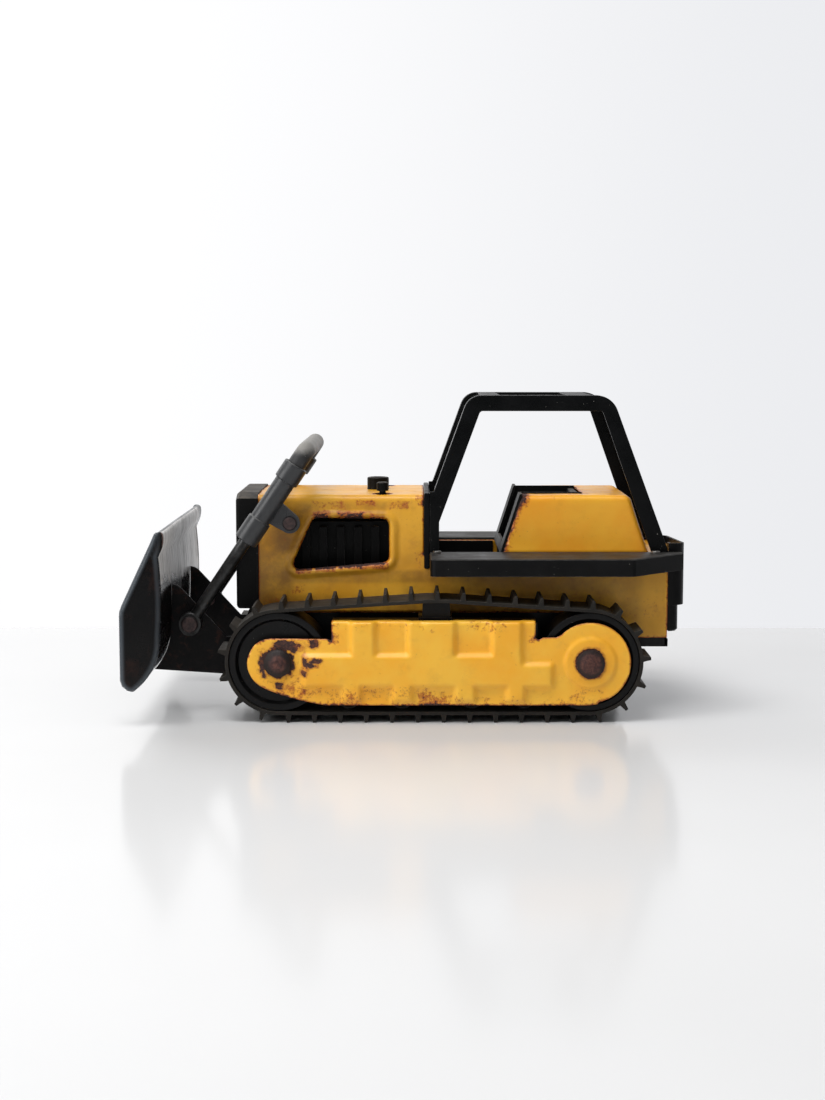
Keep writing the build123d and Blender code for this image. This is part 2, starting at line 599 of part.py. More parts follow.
def blade():
    """Curved steel blade with end wings and a folded top edge."""
    front = (
        Line((-186.9, 150.6), (-192.2, 150.6)),
        Line((-192.2, 150.6), (-193.2, 146.0)),
        Line((-193.2, 146.0), (-192.4, 131.0)),
        ThreePointArc((-192.4, 131.0), (-190.5, 96.0), (-191.6, 70.3)),
        ThreePointArc((-191.6, 70.3), (-198.0, 44.9), (-212.6, 28.6)),
        Line((-212.6, 28.6), (-211.2, 27.4)),
    )
    mouldboard = slab(make_face(Wire(list(BLADE_BACK) + list(front))), -BLADE_HALF + 1, BLADE_HALF - 1)
    wing_front = Polyline((-186.9, 150.6), (-192.2, 150.6), (-221.0, 89.4), (-221.0, 34.6), (-216.0, 28.4),
                          (-211.2, 27.4))
    wing_face = make_face(Wire(list(BLADE_BACK) + list(wing_front.edges())))
    wing = slab(wing_face, -BLADE_HALF, -BLADE_HALF + BLADE_SHEET)
    return mouldboard + wing + right_of(wing)


def push_arm():
    """Flat steel arm from the blade's back to the front axle."""
    edge = Polyline((-207, 34.2), (-147.8, 30.4), (FRONT_AXLE_X, AXLE_Z - ARM_END_R))
    tail = ThreePointArc((FRONT_AXLE_X, AXLE_Z - ARM_END_R), (FRONT_AXLE_X + ARM_END_R, AXLE_Z),
                         (FRONT_AXLE_X, AXLE_Z + ARM_END_R))
    top = Polyline((FRONT_AXLE_X, AXLE_Z + ARM_END_R), (-145.5, 60.5), (-180.8, 98.8))
    hump = ThreePointArc((-180.8, 98.8), (-184.5, 101.6), (-189.0, 102.6))
    close = Polyline((-189.0, 102.6), (-196, 102.6), (-207, 34.2))
    face = make_face(Wire(edge.edges() + tail.edges() + top.edges() + hump.edges() + close.edges()))
    ahead = Polyline((-186.9, 150.6), (-240, 150.6), (-240, 20), (-211.2, 20), (-211.2, 27.4))
    face -= make_face(Wire(list(BLADE_BACK) + list(ahead.edges())))
    arm = slab(face, -ARM_Y[1], -ARM_Y[0])
    arm -= y_rod(FRONT_AXLE_X, AXLE_Z, AXLE_R + RUNNING_GAP, -ARM_Y[1] - 1, -ARM_Y[0] + 1)
    arm -= y_rod(PIN_X, PIN_Z, PIN_R, -ARM_Y[1] - 1, -ARM_Y[0] + 1)
    return arm


EYE_Y = (ROD_Y - ROD_R, ROD_Y + ROD_R)
EYE_R = 9.2


def rod_pin():
    """Shouldered rivet from the push arm through the rod's eye."""
    pin = y_rod(PIN_X, PIN_Z, PIN_R, -EYE_Y[1] - 1, -ARM_Y[0])
    pin += y_rod(PIN_X, PIN_Z, 6, -EYE_Y[0] + 0.3, -ARM_Y[1])
    pin += y_rod(PIN_X, PIN_Z, 4.5, -ARM_Y[0], -ARM_Y[0] + 1.4)
    head = y_rod(PIN_X, PIN_Z, 6.6, -EYE_Y[1] - 3, -EYE_Y[1] - 0.4)
    return pin + fillet(head.faces().sort_by(Axis.Y)[0].edges(), 1.6)


def rod():
    """Steel lift rod with an eye at the bottom, its top end seated in the handle's leg."""
    eye = y_rod(PIN_X, PIN_Z, EYE_R, -EYE_Y[1], -EYE_Y[0])
    eye = chamfer(eye.edges().filter_by(GeomType.CIRCLE), 0.6)
    shaft = lift_rod(ROD_R, EYE_R - 2, LEG_S + 10)
    return (shaft + eye) - y_rod(PIN_X, PIN_Z, EYE_HOLE_R, -ROD_Y - 20, -ROD_Y + 20)


def lift_handle():
    """U-shaped handle: two legs inside the barrels, joined by a cross bar."""
    c, s = cos(radians(LIFT_ANGLE)), sin(radians(LIFT_ANGLE))
    x1, z1 = lift_point(LEG_S)
    x2, z2 = lift_point(BAR_S)
    route = FilletPolyline((x1, -ROD_Y, z1), (x2, -ROD_Y, z2), (x2, ROD_Y, z2), (x1, ROD_Y, z1), radius=9)
    loop = sweep(Plane(origin=(x1, -ROD_Y, z1), z_dir=(c, 0, s)) * Circle(LEG_R), path=route)
    socket = lift_rod(ROD_R, LEG_S - 1, LEG_S + 10)
    return loop - socket - right_of(socket)


def lift_barrel():
    """Moulded barrel the handle slides in, with a bracket that swivels on the hood rivet."""
    barrel = lift_rod(BARREL_R, RING_S[0] + 1, COLLAR_S[1] - 1)
    for radius, (low, high) in ((RING_R, RING_S), (COLLAR_R, COLLAR_S)):
        ring = lift_rod(radius, low, high)
        barrel += chamfer(ring.edges().filter_by(GeomType.CIRCLE), 0.6)
    x, z = lift_point(SWIVEL_S, SWIVEL_OFFSET)
    y_out, y_in = -BRACKET_Y[1], -BRACKET_Y[0]
    root = [lift_point(along, 4) for along in BRACKET_S]
    end = [lift_point(SWIVEL_S + step, SWIVEL_OFFSET) for step in (BRACKET_END_R, -BRACKET_END_R)]
    plate = xz_face(*root, *end) + Pos(x, z) * Circle(BRACKET_END_R)
    barrel += slab(plate, y_out, y_in) + y_rod(x, z, 6.5, y_out, -BOSS_Y)
    barrel -= lift_rod(BORE_R, BORE_FLOOR_S, COLLAR_S[1] + 5)
    barrel -= lift_rod(ROD_R + RUNNING_GAP, RING_S[0] - 5, BORE_FLOOR_S + 1)
    return barrel - y_rod(x, z, PIN_R + RUNNING_GAP, y_out - 1, -BOSS_Y + 1)


def hood_rivet():
    """Rivet through the barrel's bracket and the hood's side."""
    x, z = lift_point(SWIVEL_S, SWIVEL_OFFSET)
    y_out = -BRACKET_Y[1]
    rivet = y_rod(x, z, PIN_R, y_out - 1, -BODY_HALF + SHEET)
    rivet += y_rod(x, z, 4, -BOSS_Y + 0.3, -BODY_HALF)
    rivet += y_rod(x, z, 4.5, -BODY_HALF + SHEET, -BODY_HALF + SHEET + 1.4)
    head = y_rod(x, z, 5.6, y_out - 2.8, y_out - 0.4)
    return rivet + fillet(head.faces().sort_by(Axis.Y)[0].edges(), 1.4)


nodes["blade"] = blade()
add_pair("push_arm", push_arm())
add_pair("lift_rod", rod())
nodes["lift_handle"] = lift_handle()
add_pair("lift_barrel", lift_barrel())
pin, rivet = rod_pin(), hood_rivet()
nodes["rod_pins"] = Compound([pin, right_of(pin)])
nodes["hood_rivets"] = Compound([rivet, right_of(rivet)])

os.makedirs("parts", exist_ok=True)
for name, shape in nodes.items():
    export_step(shape, f"parts/{name}.step")
print(len(nodes), "nodes written, cleat pitch", round(belt_wire(BELT_T).length / CLEAT_COUNT, 2), "mm")
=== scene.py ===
import math

import bmesh
import bpy
import numpy as np
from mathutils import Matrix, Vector, noise
from mathutils.geometry import delaunay_2d_cdt


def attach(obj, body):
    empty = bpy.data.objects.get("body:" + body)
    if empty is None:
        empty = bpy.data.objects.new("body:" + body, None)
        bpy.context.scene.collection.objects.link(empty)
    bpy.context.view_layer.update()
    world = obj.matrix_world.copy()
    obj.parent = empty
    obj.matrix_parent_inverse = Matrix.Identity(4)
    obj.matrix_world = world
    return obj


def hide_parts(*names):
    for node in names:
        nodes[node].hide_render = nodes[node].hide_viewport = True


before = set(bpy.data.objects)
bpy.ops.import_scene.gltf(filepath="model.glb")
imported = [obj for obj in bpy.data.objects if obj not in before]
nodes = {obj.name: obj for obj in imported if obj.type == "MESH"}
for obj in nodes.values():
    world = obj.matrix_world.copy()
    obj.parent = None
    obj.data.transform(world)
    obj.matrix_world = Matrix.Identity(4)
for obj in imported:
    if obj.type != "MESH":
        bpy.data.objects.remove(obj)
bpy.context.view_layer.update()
MM = 0.001
SHEET, BLADE_SHEET = 1.2, 1.5
FRONT_AXLE_X, REAR_AXLE_X, AXLE_Z = -101.0, 140.5, 47.5


# ---------------------------------------------------------------- materials
def srgb(r, g, b):
    """Linear colour from 8-bit values."""
    linear = [c / 255 / 12.92 if c <= 10 else ((c / 255 + 0.055) / 1.055) ** 2.4 for c in (r, g, b)]
    return (*linear, 1.0)


class Paint:
    """A material's node tree in short calls. Coordinates are the row frame, in metres."""

    def __init__(self, name):
        self.mat = bpy.data.materials.new(name)
        self.mat.use_nodes = True
        self.tree = self.mat.node_tree
        self.bsdf = self.tree.nodes["Principled BSDF"]
        self.place = self.add("ShaderNodeTexCoord").outputs["Object"]
        split = self.add("ShaderNodeSeparateXYZ")
        self.put(split.inputs[0], self.place)
        self.x, self.y, self.z = split.outputs

    def add(self, kind, **settings):
        node = self.tree.nodes.new(kind)
        for key, value in settings.items():
            setattr(node, key, value)
        return node

    def put(self, socket, value):
        if isinstance(value, bpy.types.NodeSocket):
            self.tree.links.new(value, socket)
        else:
            socket.default_value = value

    def math(self, operation, a, b=0.0):
        node = self.add("ShaderNodeMath", operation=operation)
        self.put(node.inputs[0], a)
        self.put(node.inputs[1], b)
        return node.outputs[0]

    def total(self, *values):
        result = values[0]
        for value in values[1:]:
            result = self.math("ADD", result, value)
        return result

    def step(self, value, low, high, out_low=0.0, out_high=1.0):
        node = self.add("ShaderNodeMapRange", interpolation_type="SMOOTHSTEP")
        for socket, v in zip(node.inputs, (value, low, high, out_low, out_high)):
            self.put(socket, v)
        return node.outputs[0]

    def noise(self, scale, detail=4.0, rough=0.55, stretch=(1, 1, 1), offset=(0, 0, 0)):
        mapping = self.add("ShaderNodeMapping")
        self.put(mapping.inputs["Vector"], self.place)
        mapping.inputs["Scale"].default_value = stretch
        mapping.inputs["Location"].default_value = offset
        node = self.add("ShaderNodeTexNoise")
        self.put(node.inputs["Vector"], mapping.outputs[0])
        node.inputs["Scale"].default_value = scale
        node.inputs["Detail"].default_value = detail
        node.inputs["Roughness"].default_value = rough
        return node.outputs[0]

    def mix(self, factor, a, b):
        node = self.add("ShaderNodeMix", data_type="RGBA")
        for socket, v in zip((node.inputs["Factor"], node.inputs[6], node.inputs[7]), (factor, a, b)):
            self.put(socket, v)
        return node.outputs[2]

    def region(self, centre, half, soft, strength):
        """strength inside a box given in millimetres, fading to 0 over soft."""
        near = None
        for axis, c, h in zip((self.x, self.y, self.z), centre, half):
            if h is None:
                continue
            d = self.math("ABSOLUTE", self.math("SUBTRACT", axis, c * MM))
            d = self.math("SUBTRACT", d, h * MM)
            near = d if near is None else self.math("MAXIMUM", near, d)
        return self.step(near, 0.0, soft * MM, strength, 0.0)

    def strip(self, start, end, half, soft, strength):
        """strength along a slanted line from start to end, (x, z) in millimetres."""
        length = math.hypot(end[0] - start[0], end[1] - start[1])
        ux, uz = (end[0] - start[0]) / length, (end[1] - start[1]) / length
        dx = self.math("SUBTRACT", self.x, start[0] * MM)
        dz = self.math("SUBTRACT", self.z, start[1] * MM)
        along = self.math("ADD", self.math("MULTIPLY", dx, ux), self.math("MULTIPLY", dz, uz))
        across = self.math("SUBTRACT", self.math("MULTIPLY", dx, uz), self.math("MULTIPLY", dz, ux))
        along = self.math("ABSOLUTE", self.math("SUBTRACT", along, length / 2 * MM))
        along = self.math("SUBTRACT", along, length / 2 * MM)
        across = self.math("SUBTRACT", self.math("ABSOLUTE", across), half * MM)
        return self.step(self.math("MAXIMUM", along, across), 0.0, soft * MM, strength, 0.0)

    def edge_wear(self, radius):
        """1 on sharp edges, from the difference of the bevelled and the true normal."""
        bevel = self.add("ShaderNodeBevel", samples=4)
        bevel.inputs["Radius"].default_value = radius
        flat = self.add("ShaderNodeNewGeometry").outputs["Normal"]
        dot = self.add("ShaderNodeVectorMath", operation="DOT_PRODUCT")
        self.put(dot.inputs[0], bevel.outputs[0])
        self.put(dot.inputs[1], flat)
        return self.step(self.math("SUBTRACT", 1.0, dot.outputs["Value"]), 0.02, 0.3)

    def attribute(self, name):
        return self.add("ShaderNodeAttribute", attribute_name=name).outputs["Fac"]

    def facing(self):
        """The surface normal as x, y and z."""
        split = self.add("ShaderNodeSeparateXYZ")
        self.put(split.inputs[0], self.add("ShaderNodeNewGeometry").outputs["Normal"])
        return split.outputs

    def bump(self, height, distance, strength):
        node = self.add("ShaderNodeBump")
        node.inputs["Strength"].default_value = strength
        node.inputs["Distance"].default_value = distance
        self.put(node.inputs["Height"], height)
        return node.outputs[0]

    def finish(self, colour, rough, normal=None, metal=0.0, specular=0.5):
        self.put(self.bsdf.inputs["Base Color"], colour)
        self.put(self.bsdf.inputs["Roughness"], rough)
        self.put(self.bsdf.inputs["Metallic"], metal)
        self.put(self.bsdf.inputs["Specular IOR Level"], specular)
        if normal is not None:
            self.put(self.bsdf.inputs["Normal"], normal)
        return self.mat


def rust_colour(p):
    """Dark purple-brown rust with lighter orange grain."""
    grain = p.noise(900, 5, 0.7)
    patch = p.noise(160, 3, 0.6, offset=(3, 1, 7))
    dark = p.mix(p.step(grain, 0.42, 0.66), srgb(48, 30, 30), srgb(92, 56, 44))
    return p.mix(p.step(patch, 0.52, 0.72), dark, srgb(118, 62, 38))


def yellow(name, boosts, chips=(), edge_strength=0.33, edge_width=3.0, strips=(), dirt_and_shade=(),
           tones=((228, 160, 34), (245, 182, 52)), smear=0.55):
    """Chipped yellow enamel: boosts are (centre, half, soft, strength) regions that rust more,
    chips are (centre, half, rough) patches with the paint gone. Millimetres."""
    p = Paint(name)
    broad = p.noise(22, 4, 0.6)
    fine = p.noise(420, 6, 0.68)
    speck = p.noise(760, 4, 0.65, offset=(4, 4, 4))
    tone = p.mix(p.step(broad, 0.3, 0.7), srgb(*tones[0]), srgb(*tones[1]))
    smudge = p.noise(70, 6, 0.65, offset=(9, 2, 5))
    tone = p.mix(p.step(smudge, 0.5, 0.78, 0.0, smear), tone, srgb(196, 128, 38))
    # Darker regions: partly dirt, partly painted shade where the body lies in shadow.
    for centre, half, soft, strength in dirt_and_shade:
        dirt_and_shade_amount = p.math("MULTIPLY", p.region(centre, half, soft, strength),
                       p.step(smudge, 0.25, 0.6, 0.35, 1.0))
        tone = p.mix(dirt_and_shade_amount, tone, srgb(128, 84, 28))
    level = p.math("MULTIPLY", p.step(p.noise(38, 3, 0.6, offset=(1, 8, 2)), 0.42, 0.72), 0.05)
    for centre, half, soft, strength in boosts:
        level = p.math("ADD", level, p.region(centre, half, soft, strength * 1.2))
    for line in strips:
        level = p.math("ADD", level, p.strip(*line))
    level = p.math("ADD", level, p.step(p.attribute("rim"), 0.0, edge_width * MM, edge_strength, 0.0))
    coarse = p.noise(120, 4, 0.6, offset=(2, 2, 9))
    ragged = p.total(p.math("MULTIPLY", fine, 0.62), p.math("MULTIPLY", coarse, 0.38))
    exposed = p.math("ADD", ragged, level)
    stain = p.step(exposed, 0.61, 0.77, 0.0, 0.92)
    rim_line = p.step(p.attribute("rim"), 0.2 * MM, 1.3 * MM, 0.85, 0.0)
    stain = p.math("MAXIMUM", stain, p.math("MULTIPLY", rim_line, p.step(smudge, 0.36, 0.56)))
    bare = p.step(exposed, 0.785, 0.815)
    dots = p.step(speck, 0.70, 0.73)
    bare = p.math("MAXIMUM", bare, p.math("MULTIPLY", dots, p.step(broad, 0.45, 0.65, 0.2, 0.9)))
    wobble = p.total(p.math("SUBTRACT", p.noise(210, 6, 0.72, offset=(5, 5, 1)), 0.5),
                     p.math("SUBTRACT", p.noise(95, 3, 0.5, offset=(8, 1, 1)), 0.5))
    for centre, half, rough in chips:
        offsets = [p.math("SUBTRACT", axis, c * MM) for axis, c in zip((p.x, p.z), centre)]
        if len(half) == 1:
            squares = [p.math("MULTIPLY", d, d) for d in offsets]
            near = p.math("SUBTRACT", p.math("SQRT", p.math("ADD", *squares)), half[0] * MM)
        else:
            cubes = [p.math("POWER", p.math("ABSOLUTE", p.math("DIVIDE", d, h * MM)), 3.0)
                     for d, h in zip(offsets, half)]
            near = p.math("SUBTRACT", p.math("POWER", p.math("ADD", *cubes), 1 / 3), 1.0)
            near = p.math("MULTIPLY", near, min(half) * MM)
        near = p.math("ADD", near, p.math("MULTIPLY", wobble, rough * MM))
        bare = p.math("MAXIMUM", bare, p.step(near, 0.25 * MM, 0.0))
        stain = p.math("MAXIMUM", stain, p.step(near, 2.2 * MM, 0.2 * MM, 0.0, 0.7))
    colour = p.mix(stain, tone, srgb(180, 88, 28))
    colour = p.mix(bare, colour, rust_colour(p))
    rough = p.math("ADD", p.step(p.noise(60, 4, 0.6), 0.3, 0.7, 0.30, 0.44), p.math("MULTIPLY", bare, 0.42))
    relief = p.total(
        p.math("MULTIPLY", bare, -0.55),
        p.math("MULTIPLY", p.math("MULTIPLY", bare, fine), 0.6),
        p.math("MULTIPLY", smudge, 0.16),
        p.math("MULTIPLY", p.noise(700, 3, 0.5), 0.10),
    )
    return p.finish(colour, rough, p.bump(relief, 0.5 * MM, 0.8))


def black_plastic(name, tone, dust, gloss, rub_and_highlight, dust_level, faded=None, specular=0.22):
    """Moulded black plastic with dust on top faces, pale scuffs and pale edges, which are partly rubbed
    wear and partly painted highlight. Above the two heights in faded, in millimetres, it is bleached."""
    p = Paint(name)
    cloud = p.noise(45, 5, 0.62)
    fine = p.noise(800, 4, 0.6)
    scratch = p.noise(260, 5, 0.7, stretch=(1, 1, 7), offset=(1, 2, 3))
    base = p.mix(p.step(cloud, 0.3, 0.7), srgb(*tone), srgb(*[c + 8 for c in tone]))
    upward = p.step(p.facing()[2], 0.35, 0.95)
    dusty = p.math("MULTIPLY", upward, p.step(p.noise(90, 6, 0.7, offset=(7, 7, 7)), 0.3, 0.75, 0.15, 1.0))
    colour = p.mix(p.math("MULTIPLY", dusty, dust_level), base, srgb(*dust))
    if faded:
        uneven = p.math("MULTIPLY", p.math("SUBTRACT", p.noise(130, 4, 0.6), 0.5), 9 * MM)
        ragged = p.math("ADD", p.z, uneven)
        colour = p.mix(p.step(ragged, faded[0] * MM, faded[1] * MM, 0.0, 0.85), colour, srgb(146, 143, 138))
    scuff = p.math("MULTIPLY", p.step(scratch, 0.68, 0.74), 0.35)
    rubbed = p.step(p.noise(150, 5, 0.7, offset=(3, 3, 3)), 0.35, 0.7)
    # Pale edges: rubbed wear, and where the setting is high (cage, fenders) painted highlight lines along
    # the edges.
    edge = p.math("MULTIPLY", p.math("MULTIPLY", p.edge_wear(0.7 * MM), rubbed), rub_and_highlight)
    colour = p.mix(p.math("MAXIMUM", scuff, edge), colour, srgb(120, 118, 116))
    specks = p.step(p.noise(620, 2, 0.5, offset=(6, 1, 6)), 0.765, 0.785)
    colour = p.mix(p.math("MULTIPLY", specks, 0.6), colour, srgb(190, 186, 178))
    rough = p.total(p.step(cloud, 0.3, 0.7, gloss - 0.06, gloss + 0.08), p.math("MULTIPLY", dusty, 0.25))
    relief = p.total(p.math("MULTIPLY", fine, 0.25), p.math("MULTIPLY", scratch, 0.3))
    return p.finish(colour, rough, p.bump(relief, 0.12 * MM, 0.7), specular=specular)


def rubber(name):
    """Aged rubber: brownish black, dry and dusty on what faces up."""
    p = Paint(name)
    cloud = p.noise(60, 6, 0.65)
    base = p.mix(p.step(cloud, 0.3, 0.72), srgb(25, 24, 21), srgb(42, 38, 34))
    dusty = p.math("MULTIPLY", p.step(p.facing()[2], 0.2, 0.95),
                   p.step(p.noise(140, 6, 0.7), 0.3, 0.8, 0.2, 0.9))
    colour = p.mix(p.math("MULTIPLY", dusty, 0.55), base, srgb(88, 82, 74))
    edge = p.math("MULTIPLY", p.edge_wear(0.6 * MM), p.step(p.noise(210, 5, 0.7), 0.3, 0.7))
    colour = p.mix(p.math("MULTIPLY", edge, 0.55), colour, srgb(104, 98, 90))
    rough = p.step(cloud, 0.3, 0.7, 0.56, 0.74)
    relief = p.total(p.math("MULTIPLY", p.noise(1300, 4, 0.6), 0.35),
                     p.math("MULTIPLY", p.noise(240, 5, 0.6), 0.6))
    return p.finish(colour, rough, p.bump(relief, 0.25 * MM, 0.8), specular=0.25)


def rusty_metal(name, dark, light, shaded_hubs=()):
    """Rusted fastener head whose faces turned away from ±y are darkened as painted shade, so the crown
    reads lighter. Each hub is (x, z, radius) in
    millimetres: outside radius the head is ringed with painted shadow."""
    p = Paint(name)
    pits = p.noise(700, 6, 0.7)
    colour = p.mix(p.step(p.noise(260, 5, 0.65), 0.35, 0.68), srgb(*dark), srgb(*light))
    # Painted shade: every face not turned to ±y is darkened.
    crown = p.step(p.math("ABSOLUTE", p.facing()[1]), 0.80, 0.995)
    colour = p.mix(p.math("SUBTRACT", 1.0, crown), colour, srgb(30, 20, 20))
    # Painted shadow: a dark ring round each hub beyond its radius.
    for cx, cz, reach in shaded_hubs:
        dx, dz = p.math("SUBTRACT", p.x, cx * MM), p.math("SUBTRACT", p.z, cz * MM)
        away = p.math("SQRT", p.math("ADD", p.math("MULTIPLY", dx, dx), p.math("MULTIPLY", dz, dz)))
        shadow_ring = p.math("MULTIPLY", p.step(away, (reach - 1.5) * MM, (reach + 1.0) * MM, 0.0, 0.85),
                      p.step(away, 14 * MM, 15 * MM, 1.0, 0.0))
        colour = p.mix(shadow_ring, colour, srgb(30, 20, 19))
    colour = p.mix(p.step(pits, 0.55, 0.75, 0.0, 0.5), colour, srgb(*[c + 16 for c in light]))
    rough = p.step(pits, 0.35, 0.7, 0.42, 0.72)
    relief = p.total(p.math("MULTIPLY", pits, 0.7), p.noise(250, 4, 0.6))
    return p.finish(colour, rough, p.bump(relief, 0.5 * MM, 0.9), metal=0.3)


def black_enamel_dull(name):
    """Dull black enamel with a brown rust bloom."""
    p = Paint(name)
    cloud = p.noise(60, 6, 0.65)
    colour = p.mix(p.step(cloud, 0.4, 0.7), srgb(15, 15, 16), srgb(27, 25, 25))
    bloom = p.noise(110, 6, 0.75, offset=(3, 3, 3))
    colour = p.mix(p.step(bloom, 0.52, 0.7, 0.0, 0.8), colour, srgb(60, 36, 28))
    rough = p.step(cloud, 0.3, 0.7, 0.38, 0.55)
    return p.finish(colour, rough, p.bump(p.noise(420, 5, 0.7), 0.3 * MM, 0.6), specular=0.13)


def steel(name, tone, rough_low, rough_high):
    """Dull turned steel with fine rings of wear and light tarnish."""
    p = Paint(name)
    cloud = p.noise(90, 5, 0.6)
    colour = p.mix(p.step(cloud, 0.3, 0.7), srgb(*tone), srgb(*[int(c * 0.6) for c in tone]))
    colour = p.mix(p.step(p.noise(480, 5, 0.7), 0.6, 0.74, 0.0, 0.7), colour, srgb(86, 52, 38))
    rough = p.step(p.noise(260, 5, 0.7), 0.3, 0.7, rough_low, rough_high)
    return p.finish(colour, rough, p.bump(p.noise(900, 4, 0.6), 0.1 * MM, 0.6), metal=0.9)


# ---------------------------------------------------------------- mesh helpers

def spline(points, per_span):
    """Smooth line through the points, per_span steps from each to the next."""
    pts = [Vector(p) for p in points]
    line = []
    for i in range(len(pts) - 1):
        p0 = pts[i - 1] if i else pts[0] * 2 - pts[1]
        p1, p2 = pts[i], pts[i + 1]
        p3 = pts[i + 2] if i + 2 < len(pts) else pts[-1] * 2 - pts[-2]
        for k in range(per_span):
            t = k / per_span
            line.append(0.5 * (2 * p1 + (p2 - p0) * t + (2 * p0 - 5 * p1 + 4 * p2 - p3) * t * t
                               + (3 * p1 - p0 - 3 * p2 + p3) * t ** 3))
    return line + [pts[-1]]


def rounded(points, radius, steps=6):
    """Closed outline with every corner rounded; radius is one number or one per corner."""
    radii = radius if isinstance(radius, (list, tuple)) else [radius] * len(points)
    line = []
    for i, r in enumerate(radii):
        here = Vector(points[i])
        a = Vector(points[i - 1]) - here
        b = Vector(points[(i + 1) % len(points)]) - here
        half = a.angle(b) / 2
        reach = min(r / math.tan(half), a.length * 0.48, b.length * 0.48) if r else 0
        if reach < 1e-6:
            line.append(here)
            continue
        start, end = here + a.normalized() * reach, here + b.normalized() * reach
        for k in range(steps + 1):
            t = k / steps
            line.append(start.lerp(here, t).lerp(here.lerp(end, t), t))
    return line


def resample(line, step):
    """Closed outline with no run longer than step."""
    out = []
    for i, p in enumerate(line):
        q = line[(i + 1) % len(line)]
        runs = max(1, int(math.ceil((q - p).length / step)))
        out.extend(p.lerp(q, k / runs) for k in range(runs))
    return [(p[0], p[1]) for p in out]


def signed_distance(points, loop):
    """Distance of each point to a closed loop, negative inside."""
    a = np.array(loop, float)
    b = np.roll(a, -1, 0)
    ab = b - a
    best = np.full(len(points), 1e9)
    crossings = np.zeros(len(points), int)
    for (ax, ay), (bx, by), (dx, dy) in zip(a, b, ab):
        px, py = points[:, 0] - ax, points[:, 1] - ay
        t = np.clip((px * dx + py * dy) / max(dx * dx + dy * dy, 1e-12), 0, 1)
        best = np.minimum(best, np.hypot(px - t * dx, py - t * dy))
        cross = (ay > points[:, 1]) != (by > points[:, 1])
        if cross.any() and abs(dy) > 1e-12:
            crossings += cross & (points[:, 0] < ax + (points[:, 1] - ay) * dx / dy)
    return np.where(crossings % 2 == 1, -best, best)


def soft(values, low, high):
    """0 below low, 1 above high, smooth between."""
    t = np.clip((values - low) / (high - low), 0, 1)
    return t * t * (3 - 2 * t)


def waves(points, scale, seed):
    """Smooth noise over flat points."""
    return np.array([noise.noise(Vector((a * scale, b * scale, seed))) for a, b in points])


def hollows(height, x, s, dents):
    """Shallow round dents: (x, s, radius, depth)."""
    for cx, cs, r, deep in dents:
        height = height - deep * np.exp(-((x - cx) ** 2 + (s - cs) ** 2) / (r * r))
    return height


def flat_mesh(outline, holes, step):
    """Even triangle mesh of an outline with holes: points (n, 2), faces and the distance to the rim."""
    loops = [resample(loop, step) for loop in (outline, *holes)]
    rim = np.array(loops[0])
    xs = np.arange(rim[:, 0].min() + step / 2, rim[:, 0].max(), step)
    ys = np.arange(rim[:, 1].min() + step / 2, rim[:, 1].max(), step)
    grid = np.array([(x, y) for y in ys for x in xs])
    keep = signed_distance(grid, loops[0]) < -0.45 * step
    for hole in loops[1:]:
        keep &= signed_distance(grid, hole) > 0.45 * step
    verts, edges = [], []
    for loop in loops:
        first = len(verts)
        verts += [Vector(p) for p in loop]
        edges += [(first + i, first + (i + 1) % len(loop)) for i in range(len(loop))]
    verts += [Vector(p) for p in grid[keep]]
    out, _, faces, _, _, _ = delaunay_2d_cdt(verts, edges, [], 0, 1e-7)
    points = np.array([(v[0], v[1]) for v in out])
    middle = points[np.array(faces)].mean(1)
    good = signed_distance(middle, loops[0]) < 0
    for hole in loops[1:]:
        good &= signed_distance(middle, hole) > 0
    faces = [f for f, g in zip(faces, good) if g]
    distance = np.min([np.abs(signed_distance(points, loop)) for loop in loops], 0)
    return points, faces, distance


def make_piece(name, verts, faces, body, material, replaces):
    """Mesh object in the row frame (metres) that rides on a body."""
    mesh = bpy.data.meshes.new(name)
    mesh.from_pydata([tuple(v) for v in verts], [], [tuple(f) for f in faces])
    mesh.validate()
    mesh.polygons.foreach_set("use_smooth", [True] * len(mesh.polygons))
    mesh.materials.append(material)
    piece = bpy.data.objects.new(name, mesh)
    bpy.context.scene.collection.objects.link(piece)
    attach(piece, body)
    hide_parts(*replaces)
    return piece


def add_rim(piece, rim):
    """Each vertex's distance to the nearest edge, which the enamel reads."""
    value = piece.data.attributes.new("rim", "FLOAT", "POINT")
    value.data.foreach_set("value", (rim * MM).astype(np.float32))


def thicken(piece, thickness, offset=-1.0):
    """Sheet thickness in millimetres, grown inwards unless offset says otherwise."""
    solid = piece.modifiers.new("Sheet", "SOLIDIFY")
    solid.thickness = thickness * MM
    solid.offset = offset
    solid.use_even_offset = False


def pressed(name, outline, holes, step, surface, facing, body, material, replaces, thickness):
    """Pressed sheet: the flat mesh laid on surface(points) -> positions in mm; facing(centre) is a
    rough outward direction used to turn the faces out."""
    points, faces, rim = flat_mesh(outline, holes, step)
    at = surface(points) * MM
    flips = []
    for f in faces:
        n = Vector(at[f[1]] - at[f[0]]).cross(Vector(at[f[2]] - at[f[0]]))
        flips.append(f if n.dot(facing(Vector(at[f[0]]))) > 0 else (f[0], f[2], f[1]))
    piece = make_piece(name, at, flips, body, material, replaces)
    add_rim(piece, rim)
    thicken(piece, thickness)


